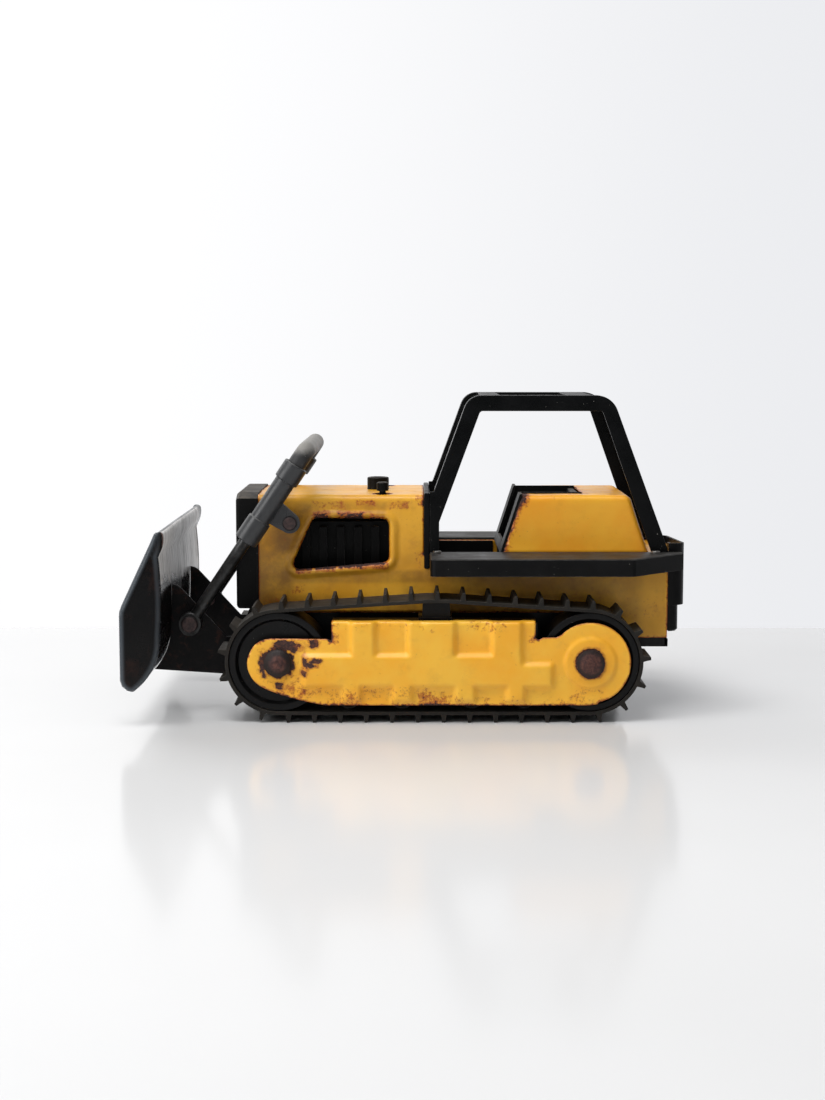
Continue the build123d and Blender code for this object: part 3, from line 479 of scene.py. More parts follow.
# ---------------------------------------------------------------- yellow side plates
PLATE_Y, EMBOSS, BOSS_RISE, LOBE_R = 113.0, 4.0, 2.0, 31.4
TOP_Z, FOLD_R, FLANGE = 80.0, 2.2, 8.0
RAISED = (
    ((-81.5, 29), (-81.5, 54), (88, 54), (88, 47), (111.3, 47), (111.3, 29)),
    ((-44.4, 50), (-44.4, 99), (-25.9, 99), (-25.9, 50)),
    ((-0.5, 50), (-0.5, 99), (35.8, 99), (35.8, 50)),
    ((64.3, 50), (64.3, 99), (87.4, 99), (87.4, 50)),
    ((-50.7, 33), (-36.8, 33), (-36.8, 17.5), (-50.7, 17.5)),
    ((-12.1, 33), (2.6, 33), (2.6, 17.5), (-12.1, 17.5)),
    ((35.8, 33), (51.3, 33), (51.3, 17.5), (35.8, 17.5)),
    ((76, 33), (90, 33), (90, 17.5), (76, 17.5)),
)


def plate_outline():
    """Side plate, with its top flange unrolled above Z 80."""
    unrolled = TOP_Z - FOLD_R + FOLD_R * math.pi / 2 + FLANGE
    lobe = []
    for k in range(27):
        a = math.radians(136 - k * 8.2)
        lobe.append(Vector((REAR_AXLE_X + LOBE_R * math.cos(a), AXLE_Z + LOBE_R * math.sin(a))))
    front = spline([(-64.7, 14.4), (-80.2, 17.6), (-97.2, 22.2), (-113.4, 28.6), (-121.8, 36.6),
                    (-124.9, 47.5), (-121.2, 58.6), (-114.6, 64.6), (-106.0, 66.6)], 5)
    notch = [Vector(p) for p in ((-62.0, 66.2), (-60.2, 64.9), (-59.4, 66.2))]
    flap = [Vector(p) for p in ((-59.4, unrolled), (97.8, unrolled), (98.0, 67.0), (100.6, 65.6),
                                (104.0, 67.2), (114.0, 67.4))]
    return front + notch + flap + lobe + [Vector((146.0, 15.2)), Vector((138.0, 14.4))]


def plate_surface(points):
    """Flat plate with raised fields, a boss round the rear axle, dents and a folded top flange."""
    x, s = points[:, 0], points[:, 1]
    inside = np.min([signed_distance(points, loop) for loop in RAISED], 0)
    height = soft(-inside, -2.2, 2.2)
    boss = np.hypot(x - REAR_AXLE_X, s - AXLE_Z)
    cup = soft(-np.hypot(x - FRONT_AXLE_X, s - AXLE_Z), -17.0, -11.5) * 0.35
    wave, fine = waves(points, 0.03, 4.0), waves(points, 0.16, 9.0)
    low_band = soft(-s, -30, -20)
    height = np.maximum(height * EMBOSS, BOSS_RISE * soft(-boss, -21.0, -18.6)) - cup
    height = height + wave * 0.45 + fine * (0.12 + 0.22 * low_band)
    height = hollows(height, x, s, ((10, 79, 3.2, 1.3), (-22, 76, 3.0, 0.8), (56, 77, 3.4, 1.2),
                                    (-40, 20, 5, 0.7), (28, 24, 4, 0.6)))
    angle = np.clip((s - (TOP_Z - FOLD_R)) / FOLD_R, 0, math.pi / 2)
    beyond = np.clip(s - (TOP_Z - FOLD_R) - FOLD_R * math.pi / 2, 0, None)
    inward = FOLD_R * (1 - np.cos(angle)) + beyond
    z = np.where(s < TOP_Z - FOLD_R, s, TOP_Z - FOLD_R + FOLD_R * np.sin(angle))
    return np.stack([x, -(PLATE_Y + height - inward), z], 1)


side_rust = [
    ((-100, None, 47), (14, None, 16), 12, 0.07),
    ((-30, None, 20), (70, None, 6), 6, 0.075),
    ((70, None, 17), (60, None, 3), 6, 0.07),
    ((-20, None, 77), (40, None, 2.5), 4, 0.06),
    ((60, None, 77), (14, None, 3), 4, 0.09),
    ((-58, None, 67), (3, None, 3), 3, 0.14),
    ((98, None, 66), (4, None, 2), 3, 0.14),
    ((140, None, 22), (12, None, 4), 5, 0.09),
]
side_chips = [
    ((-93.2, 60.6), (9.6, 4.6), 7.0),
    ((-97.5, 56.5), (5.5, 3.2), 8.0),
    ((-101.0, 47.5), (12.3,), 9.0),
    ((-112.3, 45.5), (3.4, 6.5), 9.0),
    ((-112.0, 37.6), (2.2, 1.7), 9.0),
    ((-100.4, 30.2), (2.7, 2.4), 8.0),
    ((-73.0, 62.3), (2.9, 2.6), 8.0),
    ((-80.2, 47.8), (1.9, 4.4), 6.0),
    ((-81.0, 39.6), (2.0, 2.5), 6.0),
    ((-75.6, 46.2), (3.2, 1.0), 7.0),
    ((-72.0, 49.2), (2.6, 1.2), 8.0),
    ((140.5, 47.5), (11.6,), 4.0),
]
# Painted light: a lighter copy of the hood's yellow, so the side plates look more strongly lit than the
# hood.
LIT_PLATE_TONES = ((254, 180, 40), (255, 198, 64))
side_yellow = yellow("side_plate_enamel", side_rust, side_chips, edge_strength=0.17, edge_width=2.2,
                     tones=LIT_PLATE_TONES, smear=0.25)
for side, turn in (("left", 1), ("right", -1)):
    pressed(
        "side_plate_" + side, plate_outline(), [], 1.5,
        lambda points, turn=turn: plate_surface(points) * (1, turn, 1),
        lambda at, turn=turn: Vector((0, -turn, 0.4 if at.z > 0.078 else 0)),
        "chassis", side_yellow, ["side_frame_" + side], SHEET,
    )


# ---------------------------------------------------------------- yellow hood and side panels
HALF, LOW, TOP, CORNER = 57.5, 79.0, 173.5, 5.0
RISE = TOP - CORNER - LOW
BEND = CORNER * math.pi / 2
ACROSS = 2 * (HALF - CORNER)
GIRTH = 2 * RISE + 2 * BEND + ACROSS
WINDOW = ((-76.2, 155.1), (-15.7, 154.3), (-15.7, 119.9), (-94.8, 113.5))
BELT_LINE, REAR_X, REAR_LOW = 126.0, 207.0, 59.0


def hood_surface(points, windows):
    """(x, distance round the hood from its lower left edge) to the pressed surface."""
    x, s = points[:, 0], points[:, 1]
    far = np.minimum(s, GIRTH - s)
    turn = np.clip((far - RISE) / CORNER, 0, math.pi / 2)
    over = np.clip(far - RISE - BEND, 0, None)
    out = np.minimum.reduce([signed_distance(points, w) for w in windows])
    bead = np.sin(math.pi * np.clip((out + 1.0) / 8.4, 0, 1)) ** 1.1 * 2.4
    bead = bead - 1.3 * np.exp(-np.clip(out, 0, None) / 0.9)
    wave, fine = waves(points, 0.028, 2.0), waves(points, 0.12, 5.0)
    crown = 0.5 * soft(over, 0, 40)
    grow = bead + 0.4 * wave + 0.1 * fine + crown
    grow = hollows(grow, x, s, ((-60, 86, 6, 0.8), (-114, 60, 7, 0.6), (-50, 132, 16, 0.6),
                                (0, 84, 5, 0.5), (4, 40, 6, 0.5)))
    grow = np.where(np.abs(far - RISE - BEND / 2) < 12, grow.clip(-0.9, 0.05), grow)
    side = HALF - CORNER + CORNER * np.cos(turn) - over + grow * np.cos(turn)
    z = np.where(far < RISE, LOW + far, TOP - CORNER + CORNER * np.sin(turn)) + grow * np.sin(turn)
    y = np.where(s < GIRTH / 2, -side, side)
    return np.stack([x, y, z], 1)


def hood_side(x, z, right=False):
    """Flat place on the unrolled hood of a side point (x, z)."""
    s = z - LOW
    return (x, GIRTH - s if right else s)


window_left = rounded([hood_side(*p) for p in WINDOW], 6.0)
window_right = rounded([hood_side(*p, True) for p in WINDOW], 6.0)
KNOB_X, KNOB_Y, KNOB_HOLE_R = -21, 45, 7.5
turns = [a * math.pi / 12 for a in range(24)]
knob_holes = []
for y in (-KNOB_Y, KNOB_Y):
    at_s = RISE + BEND + y + HALF - CORNER
    knob_holes.append([Vector((KNOB_X + KNOB_HOLE_R * math.cos(a), at_s + KNOB_HOLE_R * math.sin(a)))
                       for a in turns])
step_up = BELT_LINE - LOW
drop = LOW - REAR_LOW
hood_outline = [Vector(p) for p in (
    (-120, 0), (158, 0), (163, -drop), (REAR_X, -drop), (REAR_X, step_up), (12, step_up),
    (12, GIRTH - step_up), (REAR_X, GIRTH - step_up), (REAR_X, GIRTH + drop), (163, GIRTH + drop),
    (158, GIRTH), (-120, GIRTH),
)]
hood_rust = [
    ((-55, None, 158.5), (26, None, 1.5), 3, 0.09),
    ((-46, None, 157.0), (8, None, 0.6), 4.5, 0.16),
    ((-24, None, 156.6), (4.5, None, 0.5), 4.0, 0.14),
    ((-70, None, 157.5), (5, None, 0.5), 4.0, 0.12),
    ((-36, None, 116.8), (19, None, 1.4), 3.0, 0.215),
    ((-66, None, 114.2), (7, None, 1.2), 3.0, 0.20),
    ((-84, None, 112.8), (5, None, 1.0), 3.0, 0.18),
    ((-64, None, 166.0), (11, None, 1.0), 5, 0.135),
    ((-34, None, 167.0), (6, None, 0.8), 3.5, 0.155),
    ((-7, None, 165.5), (6, None, 1.4), 4.0, 0.16),
    ((9, None, 169), (3, None, 3), 2.5, 0.16),
    ((9, None, 121), (3, None, 5), 4, 0.12),
    ((-88, None, 98), (4, None, 2), 3, 0.10),
    ((-60, None, 86), (50, None, 3), 8, 0.05),
    ((-114, None, 120), (4, None, 42), 6, 0.05),
    ((KNOB_X, KNOB_Y, 173.5), (9, 9, 2), 2, 0.16),
    ((KNOB_X, -KNOB_Y, 173.5), (8, 8, 2), 1.5, 0.07),
    ((-60, None, 174), (60, None, 2), 2, 0.03),
    ((100, None, 84), (100, None, 5), 8, 0.05),
    ((195, None, 66), (12, None, 6), 10, 0.02),
]
# Darker regions on the hood: dirt towards the front, and painted shade in the bands low on the side and
# towards the rear.
hood_dirt_and_shade = [
    ((-108, None, 120), (10, None, 50), 10, 0.6),
    ((-92, None, 83), (30, None, 4), 9, 0.6),
    ((-93, None, 146), (10, None, 14), 8, 0.6),
    ((-40, None, 82), (90, None, 5), 10, 0.45),
    ((-40, None, 108), (60, None, 3), 4, 0.4),
    ((-55, None, 161), (34, None, 4), 5, 0.35),
    ((90, None, 84), (90, None, 22), 12, 0.3),
]
hood_yellow = yellow("hood_enamel", hood_rust, edge_strength=0.19, edge_width=2.4, dirt_and_shade=hood_dirt_and_shade)
pressed(
    "hood_and_panels", hood_outline, [window_left, window_right, *knob_holes], 1.8,
    lambda points: hood_surface(points, (window_left, window_right)),
    lambda at: Vector((0, at.y * 10, 4 * max(at.z - 0.168, 0) / 0.004)),
    "chassis", hood_yellow, ["body_shell"], SHEET,
)


def rear_deck(points):
    return np.stack([points[:, 0], points[:, 1], BELT_LINE - 0.2 + 0.2 * waves(points, 0.04, 7.0)], 1)


def rear_wall(points):
    return np.stack([REAR_X - 0.15 + 0.12 * waves(points, 0.04, 12.0), points[:, 0], points[:, 1]], 1)


deck_outline = rounded([(150, -56.2), (150, 56.2), (REAR_X, 56.2), (REAR_X, 42), (217, 42), (217, -42),
                        (REAR_X, -42), (REAR_X, -56.2)], [2, 2, 1, 0, 3, 3, 0, 1])
pressed("rear_deck", deck_outline, [], 3.0, rear_deck, lambda at: Vector((0, 0, 1)),
        "chassis", hood_yellow, ["body_shell"], SHEET)
wall_outline = rounded([(-57, REAR_LOW), (57, REAR_LOW), (57, BELT_LINE - 1), (-57, BELT_LINE - 1)], 2)
pressed("rear_wall", wall_outline, [], 3.0, rear_wall, lambda at: Vector((1, 0, 0)),
        "chassis", hood_yellow, ["body_shell"], SHEET)


# ---------------------------------------------------------------- yellow cover behind the driver
COVER = ((75.2, 126.3), (90.5, 173.5), (176.5, 173.5), (192.0, 126.3))
SEAT_HOLE_X, SEAT_HOLE_HALF = 140.0, 38.0


def sliced(bm, step, low, high, extra):
    """Cuts a mesh into an even grid with planes square to each axis, and at the extra (axis, value)."""
    cuts = [(axis, low[axis] + step * k) for axis in range(3)
            for k in range(1, int((high[axis] - low[axis]) / step))]
    for axis, value in [*cuts, *extra]:
        place, normal = Vector((0, 0, 0)), Vector((0, 0, 0))
        place[axis], normal[axis] = value, 1
        geometry = list(bm.verts) + list(bm.edges) + list(bm.faces)
        bmesh.ops.bisect_plane(bm, geom=geometry, dist=1e-4, plane_co=place, plane_no=normal)


def edge_distance(points, edges):
    """Distance of each point to the nearest of the 3-D segments."""
    best = np.full(len(points), 1e9)
    for a, b in edges:
        a, ab = np.array(a), np.array(b) - np.array(a)
        t = np.clip((points - a) @ ab / max(ab @ ab, 1e-12), 0, 1)
        best = np.minimum(best, np.linalg.norm(points - a - t[:, None] * ab, axis=1))
    return best


def cover_mesh():
    """Cover open below, in front and over the seat: vertices, faces and distance to its edges."""
    bm = bmesh.new()
    rings = [[bm.verts.new((x, y, z)) for x, z in COVER] for y in (-HALF, HALF)]
    bm.faces.new(rings[0])
    bm.faces.new(list(reversed(rings[1])))
    for i in range(4):
        j = (i + 1) % 4
        bm.faces.new((rings[0][j], rings[0][i], rings[1][i], rings[1][j]))
    bmesh.ops.recalc_face_normals(bm, faces=bm.faces)
    bm.edges.ensure_lookup_table()

    def rounded_edge(edge):
        a, b = (v.co for v in edge.verts)
        high = min(a.z, b.z) > 170
        rear = max(a.x, b.x) > 180 and abs(a.z - b.z) > 20
        front_top = high and max(a.x, b.x) < 100
        return (high or rear) and not front_top

    chosen = [e for e in bm.edges if rounded_edge(e)]
    bmesh.ops.bevel(bm, geom=chosen, offset=5.0, segments=5, profile=0.5, affect="EDGES",
                    clamp_overlap=True)
    open_faces = [f for f in bm.faces if f.normal.z < -0.9 or f.normal.x < -0.85]
    bmesh.ops.delete(bm, geom=open_faces, context="FACES")
    low, high = (74, -58, 126), (193, 58, 174)
    sliced(bm, 3.6, low, high, [(1, -SEAT_HOLE_HALF), (1, SEAT_HOLE_HALF), (0, SEAT_HOLE_X)])
    hole = [f for f in bm.faces if f.calc_center_median().z > 173 and f.calc_center_median().x < SEAT_HOLE_X
            and abs(f.calc_center_median().y) < SEAT_HOLE_HALF]
    bmesh.ops.delete(bm, geom=hole, context="FACES")
    bmesh.ops.triangulate(bm, faces=[f for f in bm.faces if len(f.verts) > 4])
    bm.normal_update()
    bm.verts.index_update()
    points = np.array([v.co for v in bm.verts])
    rims = [(e.verts[0].co, e.verts[1].co) for e in bm.edges
            if e.is_boundary and max(v.co.z for v in e.verts) > 127]
    rim = edge_distance(points, rims)
    for v in bm.verts:
        push = 0.45 * noise.noise(v.co * 0.035) + 0.14 * noise.noise(v.co * 0.14)
        v.co -= v.normal * (0.35 - push) * min(1.0, (v.co.z - 126) / 8)
    faces = [tuple(v.index for v in f.verts) for f in bm.faces]
    verts = [v.co * MM for v in bm.verts]
    bm.free()
    return verts, faces, rim


cover_rust = [
    ((86, None, 171), (5, None, 1.5), 9, 0.17),
    ((100, None, 172.5), (16, None, 2), 4, 0.07),
    ((150, None, 172.5), (28, None, 1.5), 3, 0.05),
    ((140, 0, 173.5), (3, 40, 3), 4, 0.06),
]
cover_strips = [
    ((75.2, 126.3), (90.5, 173.5), 1.2, 7.0, 0.165),
    ((192.0, 126.3), (176.5, 173.5), 1.0, 3.5, 0.06),
]
# Painted light: the cover's tones are a lighter, more orange copy of the hood's yellow, standing in for
# stronger light on its sides.
cover_yellow = yellow("cover_enamel", cover_rust, strips=cover_strips, edge_strength=0.12,
                      edge_width=2.5, tones=((252, 168, 32), (255, 186, 48)), smear=0.2)
verts, faces, rim = cover_mesh()
cover = make_piece("rear_cover", verts, faces, "chassis", cover_yellow, ["rear_housing"])
add_rim(cover, rim)
thicken(cover, SHEET)


# ---------------------------------------------------------------- blade
def arc_through(a, b, c, steps):
    """Points of the circular arc from a through b to c."""
    ax, ay, bx, by, cx, cy = *a, *b, *c
    d = 2 * (ax * (by - cy) + bx * (cy - ay) + cx * (ay - by))
    aa, bb, cc = ax * ax + ay * ay, bx * bx + by * by, cx * cx + cy * cy
    ux = (aa * (by - cy) + bb * (cy - ay) + cc * (ay - by)) / d
    uy = (aa * (cx - bx) + bb * (ax - cx) + cc * (bx - ax)) / d
    r = math.hypot(ax - ux, ay - uy)
    start, end = (math.atan2(p[1] - uy, p[0] - ux) for p in (a, c))
    end = start + (end - start + math.pi) % (2 * math.pi) - math.pi
    return [Vector((ux + r * math.cos(start + (end - start) * k / steps),
                    uy + r * math.sin(start + (end - start) * k / steps))) for k in range(steps + 1)]


def open_distance(points, line):
    """Distance of each flat point to an open line."""
    best = np.full(len(points), 1e9)
    for a, b in zip(line[:-1], line[1:]):
        dx, dy = b[0] - a[0], b[1] - a[1]
        px, py = points[:, 0] - a[0], points[:, 1] - a[1]
        t = np.clip((px * dx + py * dy) / max(dx * dx + dy * dy, 1e-12), 0, 1)
        best = np.minimum(best, np.hypot(px - t * dx, py - t * dy))
    return best


BLADE_Y, ROLL_FRONT, ROLL_REAR = 131.0, (4.6, 3.0), (8.5, 5.0)
blade_back = (arc_through((-211.2, 27.4), (-196.4, 43.8), (-189.8, 70.0), 16)
              + arc_through((-189.8, 70.0), (-188.7, 96.0), (-190.6, 131.0), 14)[1:])
wing_rear = blade_back + [Vector((-187.6, 138.4)), Vector((-187.2, 144.0)), Vector((-187.6, 149.0))]
wing_front = [Vector(p) for p in (
    (-187.6, 149.0), (-189.0, 150.4), (-192.0, 150.4), (-193.4, 149.0), (-197.0, 141.0), (-218.9, 94.5),
    (-220.6, 90.0), (-221.0, 86.0), (-221.0, 37.0), (-219.6, 32.0), (-215.6, 28.6), (-211.2, 27.4),
)]


def wing_surface(points, turn):
    """End wing with its edges rolled inwards."""
    depths = []
    for line, (reach, depth) in ((wing_rear, ROLL_REAR), (wing_front, ROLL_FRONT)):
        near = 1 - np.clip(open_distance(points, line) / reach, 0, 1)
        depths.append(depth * (1 - np.sqrt(1 - near ** 2)))
    deep = np.maximum(*depths)
    wave = waves(points, 0.03, 20.0)
    return np.stack([points[:, 0], -turn * (BLADE_Y - deep - 0.25 + 0.25 * wave), points[:, 1]], 1)


def blade_enamel(name, bare):
    """Chipped black enamel with a painted blue-grey highlight band near the front edges; bare leaves
    streaked grey metal on the upper back, kept black under the far end of the hem as painted shade.
    """
    p = Paint(name)
    cloud = p.noise(40, 5, 0.6)
    fine = p.noise(330, 6, 0.7)
    black = p.mix(p.step(cloud, 0.35, 0.7), srgb(6, 6, 7), srgb(15, 14, 14))
    tint = p.noise(55, 6, 0.7, stretch=(1, 1, 0.6), offset=(4, 4, 1))
    colour = p.mix(p.step(tint, 0.5, 0.68, 0.0, 0.6), black, srgb(44, 27, 22))
    worn = p.step(p.attribute("rim"), 0.0, 2.0 * MM, 0.2, 0.0)
    chips = p.step(p.math("ADD", fine, worn), 0.72, 0.76)
    colour = p.mix(p.math("MULTIPLY", chips, 0.75), colour, srgb(104, 104, 108))
    # Painted highlight: a blue-grey band along the front roll, 1.5 to 5 mm in from the edge.
    front_roll_highlight = p.math("MULTIPLY", p.step(p.attribute("rim"), 1.5 * MM, 5.0 * MM, 0.75, 0.0),
                  p.step(p.x, -186 * MM, -194 * MM))
    colour = p.mix(front_roll_highlight, colour, srgb(84, 90, 96))
    rough = p.step(cloud, 0.3, 0.7, 0.16, 0.3)
    relief = p.total(p.math("MULTIPLY", chips, -0.4), p.math("MULTIPLY", p.noise(140, 5, 0.6), 0.5))
    if bare:
        behind = p.step(p.facing()[0], 0.2, 0.5)
        uneven = p.math("MULTIPLY", p.math("SUBTRACT", p.noise(60, 5, 0.6), 0.5), 24 * MM)
        border = p.total(p.z, uneven, p.math("MULTIPLY", p.y, 0.08))
        clear = p.math("MULTIPLY", p.step(border, 100 * MM, 108 * MM), behind)
        # Painted shade: under the far end of the folded hem the back stays black instead of bare grey.
        far_hem_shade = p.math("MULTIPLY", p.step(p.y, 98 * MM, 112 * MM), p.step(p.z, 130 * MM, 137 * MM))
        clear = p.math("MULTIPLY", clear, p.math("SUBTRACT", 1.0, far_hem_shade))
        streak = p.noise(210, 5, 0.6, stretch=(1, 1, 0.08))
        metal = p.mix(p.step(streak, 0.3, 0.7), srgb(172, 169, 166), srgb(240, 238, 236))
        dull = p.step(p.noise(34, 5, 0.6, offset=(2, 9, 4)), 0.5, 0.75, 0.0, 0.6)
        metal = p.mix(dull, metal, srgb(112, 108, 107))
        seam = p.math("MULTIPLY", p.step(p.y, -120 * MM, -126 * MM), p.step(p.z, 60 * MM, 100 * MM))
        metal = p.mix(p.math("MULTIPLY", seam, 0.85), metal, srgb(88, 50, 40))
        colour = p.mix(clear, colour, metal)
        rough = p.math("ADD", rough, p.math("MULTIPLY", clear, 0.16))
    return p.finish(colour, rough, p.bump(relief, 0.3 * MM, 0.6), specular=0.15)


for side, turn in (("left", 1), ("right", -1)):
    pressed("blade_wing_" + side, wing_rear[:-1] + wing_front[:-1], [], 1.6,
            lambda points, turn=turn: wing_surface(points, turn),
            lambda at, turn=turn: Vector((0, -turn, 0)),
            "blade", blade_enamel("wing_enamel_" + side, False), ["blade"], BLADE_SHEET)

HEM = [(-187.9, 136.8), (-186.4, 142.5), (-186.3, 147.0), (-187.2, 149.8),
       (-189.4, 150.6), (-191.8, 149.6), (-192.9, 146.4), (-192.4, 143.0)]
blade_line = blade_back + spline([blade_back[-1], *HEM], 3)[3:]


def mouldboard():
    """Curved plate between the wings, its top edge folded over and sprung back towards one end."""
    across = np.linspace(-(BLADE_Y - ROLL_REAR[1]), BLADE_Y - ROLL_REAR[1], 90)
    verts, faces, rim = [], [], []
    for i, y in enumerate(across):
        flare = 1.1 * float(soft(np.array(y), -40, 126))
        for p in blade_line:
            lift = float(soft(np.array(p[1]), 128, 142))
            dent = 0.35 * noise.noise(Vector((y * 0.018, p[1] * 0.02, 31.0)))
            x = p[0] + lift * flare * 0.4 - 0.4 + dent
            z = p[1] + 0.3 * dent * lift - 0.25 * lift
            verts.append((x, y, z))
            rim.append(min(151 - p[1], p[1] - 27) if p[0] > -192 else 0)
    n = len(blade_line)
    for i in range(len(across) - 1):
        for j in range(n - 1):
            faces.append((i * n + j, i * n + j + 1, (i + 1) * n + j + 1, (i + 1) * n + j))
    return [Vector(v) * MM for v in verts], faces, np.clip(np.array(rim), 0, 50)


verts, faces, rim = mouldboard()
plate = make_piece("blade_plate", verts, faces, "blade",
                   blade_enamel("blade_enamel", True), ["blade"])
add_rim(plate, rim)
thicken(plate, BLADE_SHEET, 1.0)


# ---------------------------------------------------------------- CAD nodes: soft edges and materials
SHARP_ANGLE = 28


def soften(name, width):
    """Rounds a carried node's edges by width millimetres."""
    node = nodes[name]
    weld = node.modifiers.new("Weld", "WELD")
    weld.merge_threshold = 1e-5
    bevel = node.modifiers.new("Soft edges", "BEVEL")
    bevel.width = width * MM
    bevel.segments = 2
    bevel.limit_method = "ANGLE"
    bevel.angle_limit = math.radians(SHARP_ANGLE)
    bevel.use_clamp_overlap = True
    bevel.harden_normals = False
    for face in node.data.polygons:
        face.use_smooth = True
    even = node.modifiers.new("Even normals", "WEIGHTED_NORMAL")
    even.keep_sharp = True


def paint_node(name, material):
    """Puts one material on all of a carried node."""
    mesh = nodes[name].data
    if not mesh.materials:
        mesh.materials.append(material)
    for i in range(len(mesh.materials)):
        mesh.materials[i] = material


handle = nodes["lift_handle"]
FADE_LOW = max((handle.matrix_world @ v.co).z for v in handle.data.vertices) / MM - 11
shades = {
    "body_black": black_plastic("cage_plastic", tone=(4, 5, 6), dust=(56, 56, 55), gloss=0.3,
                                rub_and_highlight=0.9, dust_level=0.35, specular=0.13),
    "fender_black": black_plastic("fender_plastic", tone=(5, 5, 6), dust=(84, 82, 79), gloss=0.36,
                                  rub_and_highlight=0.9, dust_level=0.75, specular=0.16),
    "dusty_black": black_plastic("dusty_plastic", tone=(6, 6, 6), dust=(104, 97, 89), gloss=0.46,
                                 rub_and_highlight=0.5, dust_level=0.8, specular=0.14),
    "wheel_black": black_plastic("wheel_plastic", tone=(6, 6, 7), dust=(52, 52, 50), gloss=0.32,
                                 rub_and_highlight=0.35, dust_level=0.3),
    "roller_grey": black_plastic("roller_plastic", tone=(52, 50, 46), dust=(96, 92, 86), gloss=0.5,
                                 rub_and_highlight=0.5, dust_level=0.4, specular=0.4),
    "lift_grey": black_plastic("lift_plastic", tone=(44, 45, 47), dust=(134, 133, 130), gloss=0.36,
                               rub_and_highlight=0.5, dust_level=0.8, specular=0.55),
    "arm_black": black_enamel_dull("arm_enamel"),
    "handle_grey": black_plastic("handle_plastic", tone=(40, 40, 41), dust=(128, 126, 122), gloss=0.5,
                                 rub_and_highlight=0.5, dust_level=0.7, faded=(FADE_LOW, FADE_LOW + 7), specular=0.5),
    "rubber": rubber("track_rubber"),
    # The axle caps are ringed with painted shadow beyond 7 mm (front) and 8.5 mm (rear) from each axle.
    "rust": rusty_metal("rusty_caps", (58, 36, 35), (108, 68, 58),
                        ((FRONT_AXLE_X, AXLE_Z, 7.0), (REAR_AXLE_X, AXLE_Z, 8.5))),
    "dull_rust": rusty_metal("dull_rivets", (44, 34, 34), (74, 56, 54)),
    "dark_steel": steel("dark_steel", (72, 72, 72), 0.34, 0.55),
    "plain_steel": steel("plain_steel", (150, 148, 144), 0.3, 0.5),
}
coats = {
    "rubber": ("track_left track_right", 0.35),
    "body_black": ("roll_cage dash_panel", 1.0),
    "fender_black": ("fender_left fender_right rear_panel", 0.6),
    "dusty_black": ("grille exhaust_cap hood_knob cab_floor seat engine_block", 0.5),
    "wheel_black": ("wheel_front_left wheel_front_right wheel_rear_left wheel_rear_right"
                    " roller_carrier_left roller_carrier_right slide_block_left slide_block_right"
                    " chassis_pan", 0.5),
    "roller_grey": (" ".join(f"roller_{i}_{side}" for i in range(1, 5) for side in ("left", "right")), 0.5),
    "lift_grey": ("lift_barrel_left lift_barrel_right", 0.5),
    "handle_grey": ("lift_handle", 0.5),
    "rust": ("axle_caps", 0.8),
    "dull_rust": ("rod_pins hood_rivets", 0.3),
    "dark_steel": ("lift_rod_left lift_rod_right", 0.3),
    "arm_black": ("push_arm_left push_arm_right", 0.3),
    "plain_steel": ("front_axle rear_axle axle_spacers roller_axles fender_screws", 0.2),
}
for shade, (names, width) in coats.items():
    for name in names.split():
        if name in nodes:
            paint_node(name, shades[shade])
            soften(name, width)


# ---------------------------------------------------------------- table, backdrop, light, camera
def plain(name, colour, rough, specular):
    """Plain surface with a faint cloud in its tone."""
    p = Paint(name)
    cloud = p.noise(3, 3, 0.5)
    tone = p.mix(p.step(cloud, 0.3, 0.7), srgb(*colour), srgb(*[c - 3 for c in colour]))
    return p.finish(tone, rough, specular=specular)


def glowing(name, left, right, strength):
    """Evenly lit wall, a little darker to the right."""
    p = Paint(name)
    p.put(p.bsdf.inputs["Base Color"], (0, 0, 0, 1))
    p.put(p.bsdf.inputs["Emission Color"], p.mix(p.step(p.x, -1.0, 1.2), srgb(*left), srgb(*right)))
    p.bsdf.inputs["Emission Strength"].default_value = strength
    return p.mat


def stage_mesh(name, verts, faces, material):
    """Mesh that belongs to the setting, not to the object."""
    mesh = bpy.data.meshes.new(name)
    mesh.from_pydata(verts, [], faces)
    mesh.materials.append(material)
    thing = bpy.data.objects.new(name, mesh)
    bpy.context.scene.collection.objects.link(thing)


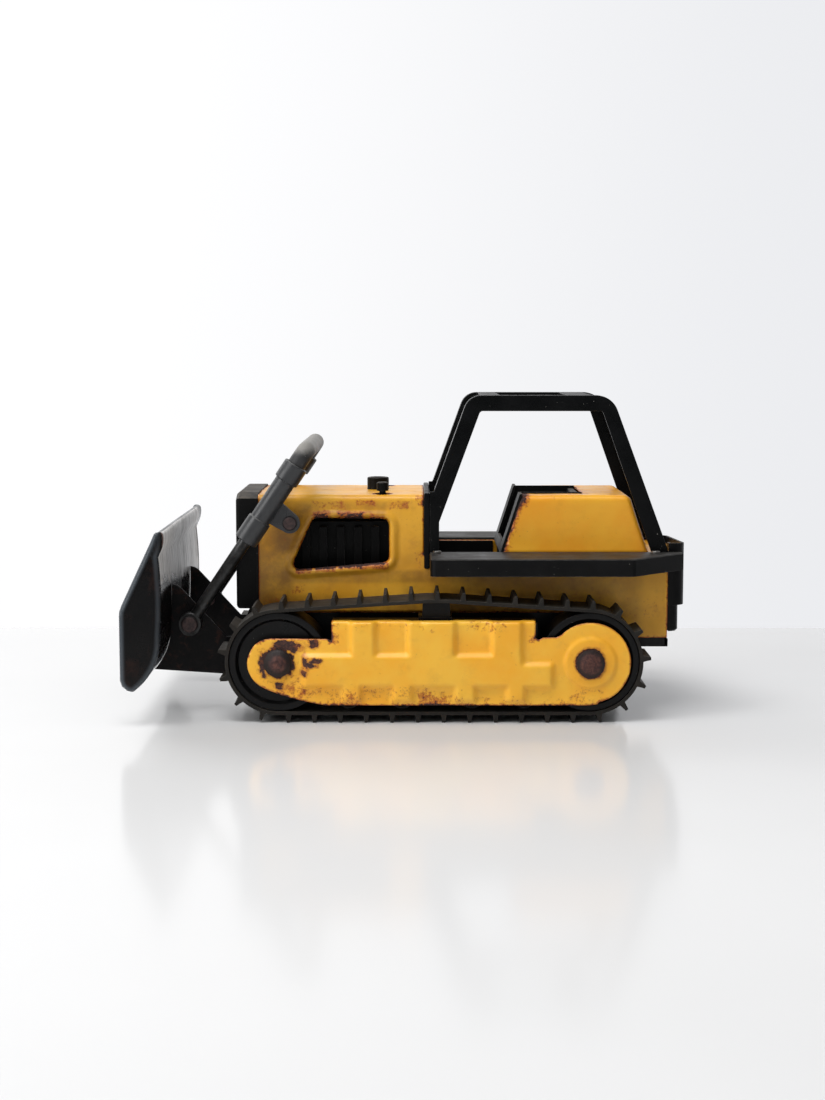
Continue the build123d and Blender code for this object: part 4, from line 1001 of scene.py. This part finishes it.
TABLE_REAR, TABLE_SIDE, TABLE_FRONT, TABLE_R, TABLE_THICK = 0.384, 0.47, -1.7, 0.06, 0.03
AIM = (0, 0, 0.1)
CAMERA_AT, CAMERA_DOWN = (0.003, -1.524, 0.288), 6.17
table = rounded([(-TABLE_SIDE, TABLE_FRONT), (TABLE_SIDE, TABLE_FRONT), (TABLE_SIDE, TABLE_REAR),
                 (-TABLE_SIDE, TABLE_REAR)], [0, 0, TABLE_R, TABLE_R], 10)
top = [(p[0], p[1], 0.0) for p in table]
under = [(x, y, -TABLE_THICK) for x, y, _ in top]
count = len(top)
faces = [tuple(range(count)), tuple(range(2 * count - 1, count - 1, -1))]
faces += [(i, i + count, (i + 1) % count + count, (i + 1) % count) for i in range(count)]
stage_mesh("table", top + under, faces, plain("table_white", (231, 231, 231), 0.14, 0.12))
stage_mesh("backdrop", [(-6, 3.2, -1.2), (6, 3.2, -1.2), (6, 3.2, 4), (-6, 3.2, 4)], [(0, 1, 2, 3)],
           glowing("backdrop_white", (254, 254, 255), (234, 235, 238), 1.0))
world = bpy.data.worlds.new("studio")
bpy.context.scene.world = world
world.use_nodes = True
world.node_tree.nodes["Background"].inputs[0].default_value = (0.99, 0.99, 1.0, 1)
world.node_tree.nodes["Background"].inputs[1].default_value = 0.3


def area(name, place, size, power):
    """Soft rectangular light turned towards the object."""
    light = bpy.data.lights.new(name, "AREA")
    light.shape = "RECTANGLE"
    light.size, light.size_y = size
    light.energy = power
    lamp = bpy.data.objects.new(name, light)
    lamp.location = place
    lamp.rotation_euler = (Vector(AIM) - Vector(place)).to_track_quat("-Z", "Y").to_euler()
    bpy.context.scene.collection.objects.link(lamp)


area("top_light", (-0.4, -0.7, 2.0), (1.3, 1.1), 27)
area("side_light", (-1.9, -1.1, 0.9), (1.1, 1.1), 18.5)
area("window_light", (-1.2, 1.3, 1.5), (1.2, 1.0), 13.5)

camera_data = bpy.data.cameras.new("camera")
camera_data.lens = 60.5
camera_data.sensor_width = 36
camera_data.sensor_fit = "AUTO"
camera = bpy.data.objects.new("camera", camera_data)
camera.location = CAMERA_AT
camera.rotation_euler = (math.radians(90 - CAMERA_DOWN), 0, 0)
bpy.context.scene.collection.objects.link(camera)
bpy.context.scene.camera = camera
bpy.context.scene.view_settings.view_transform = "Standard"
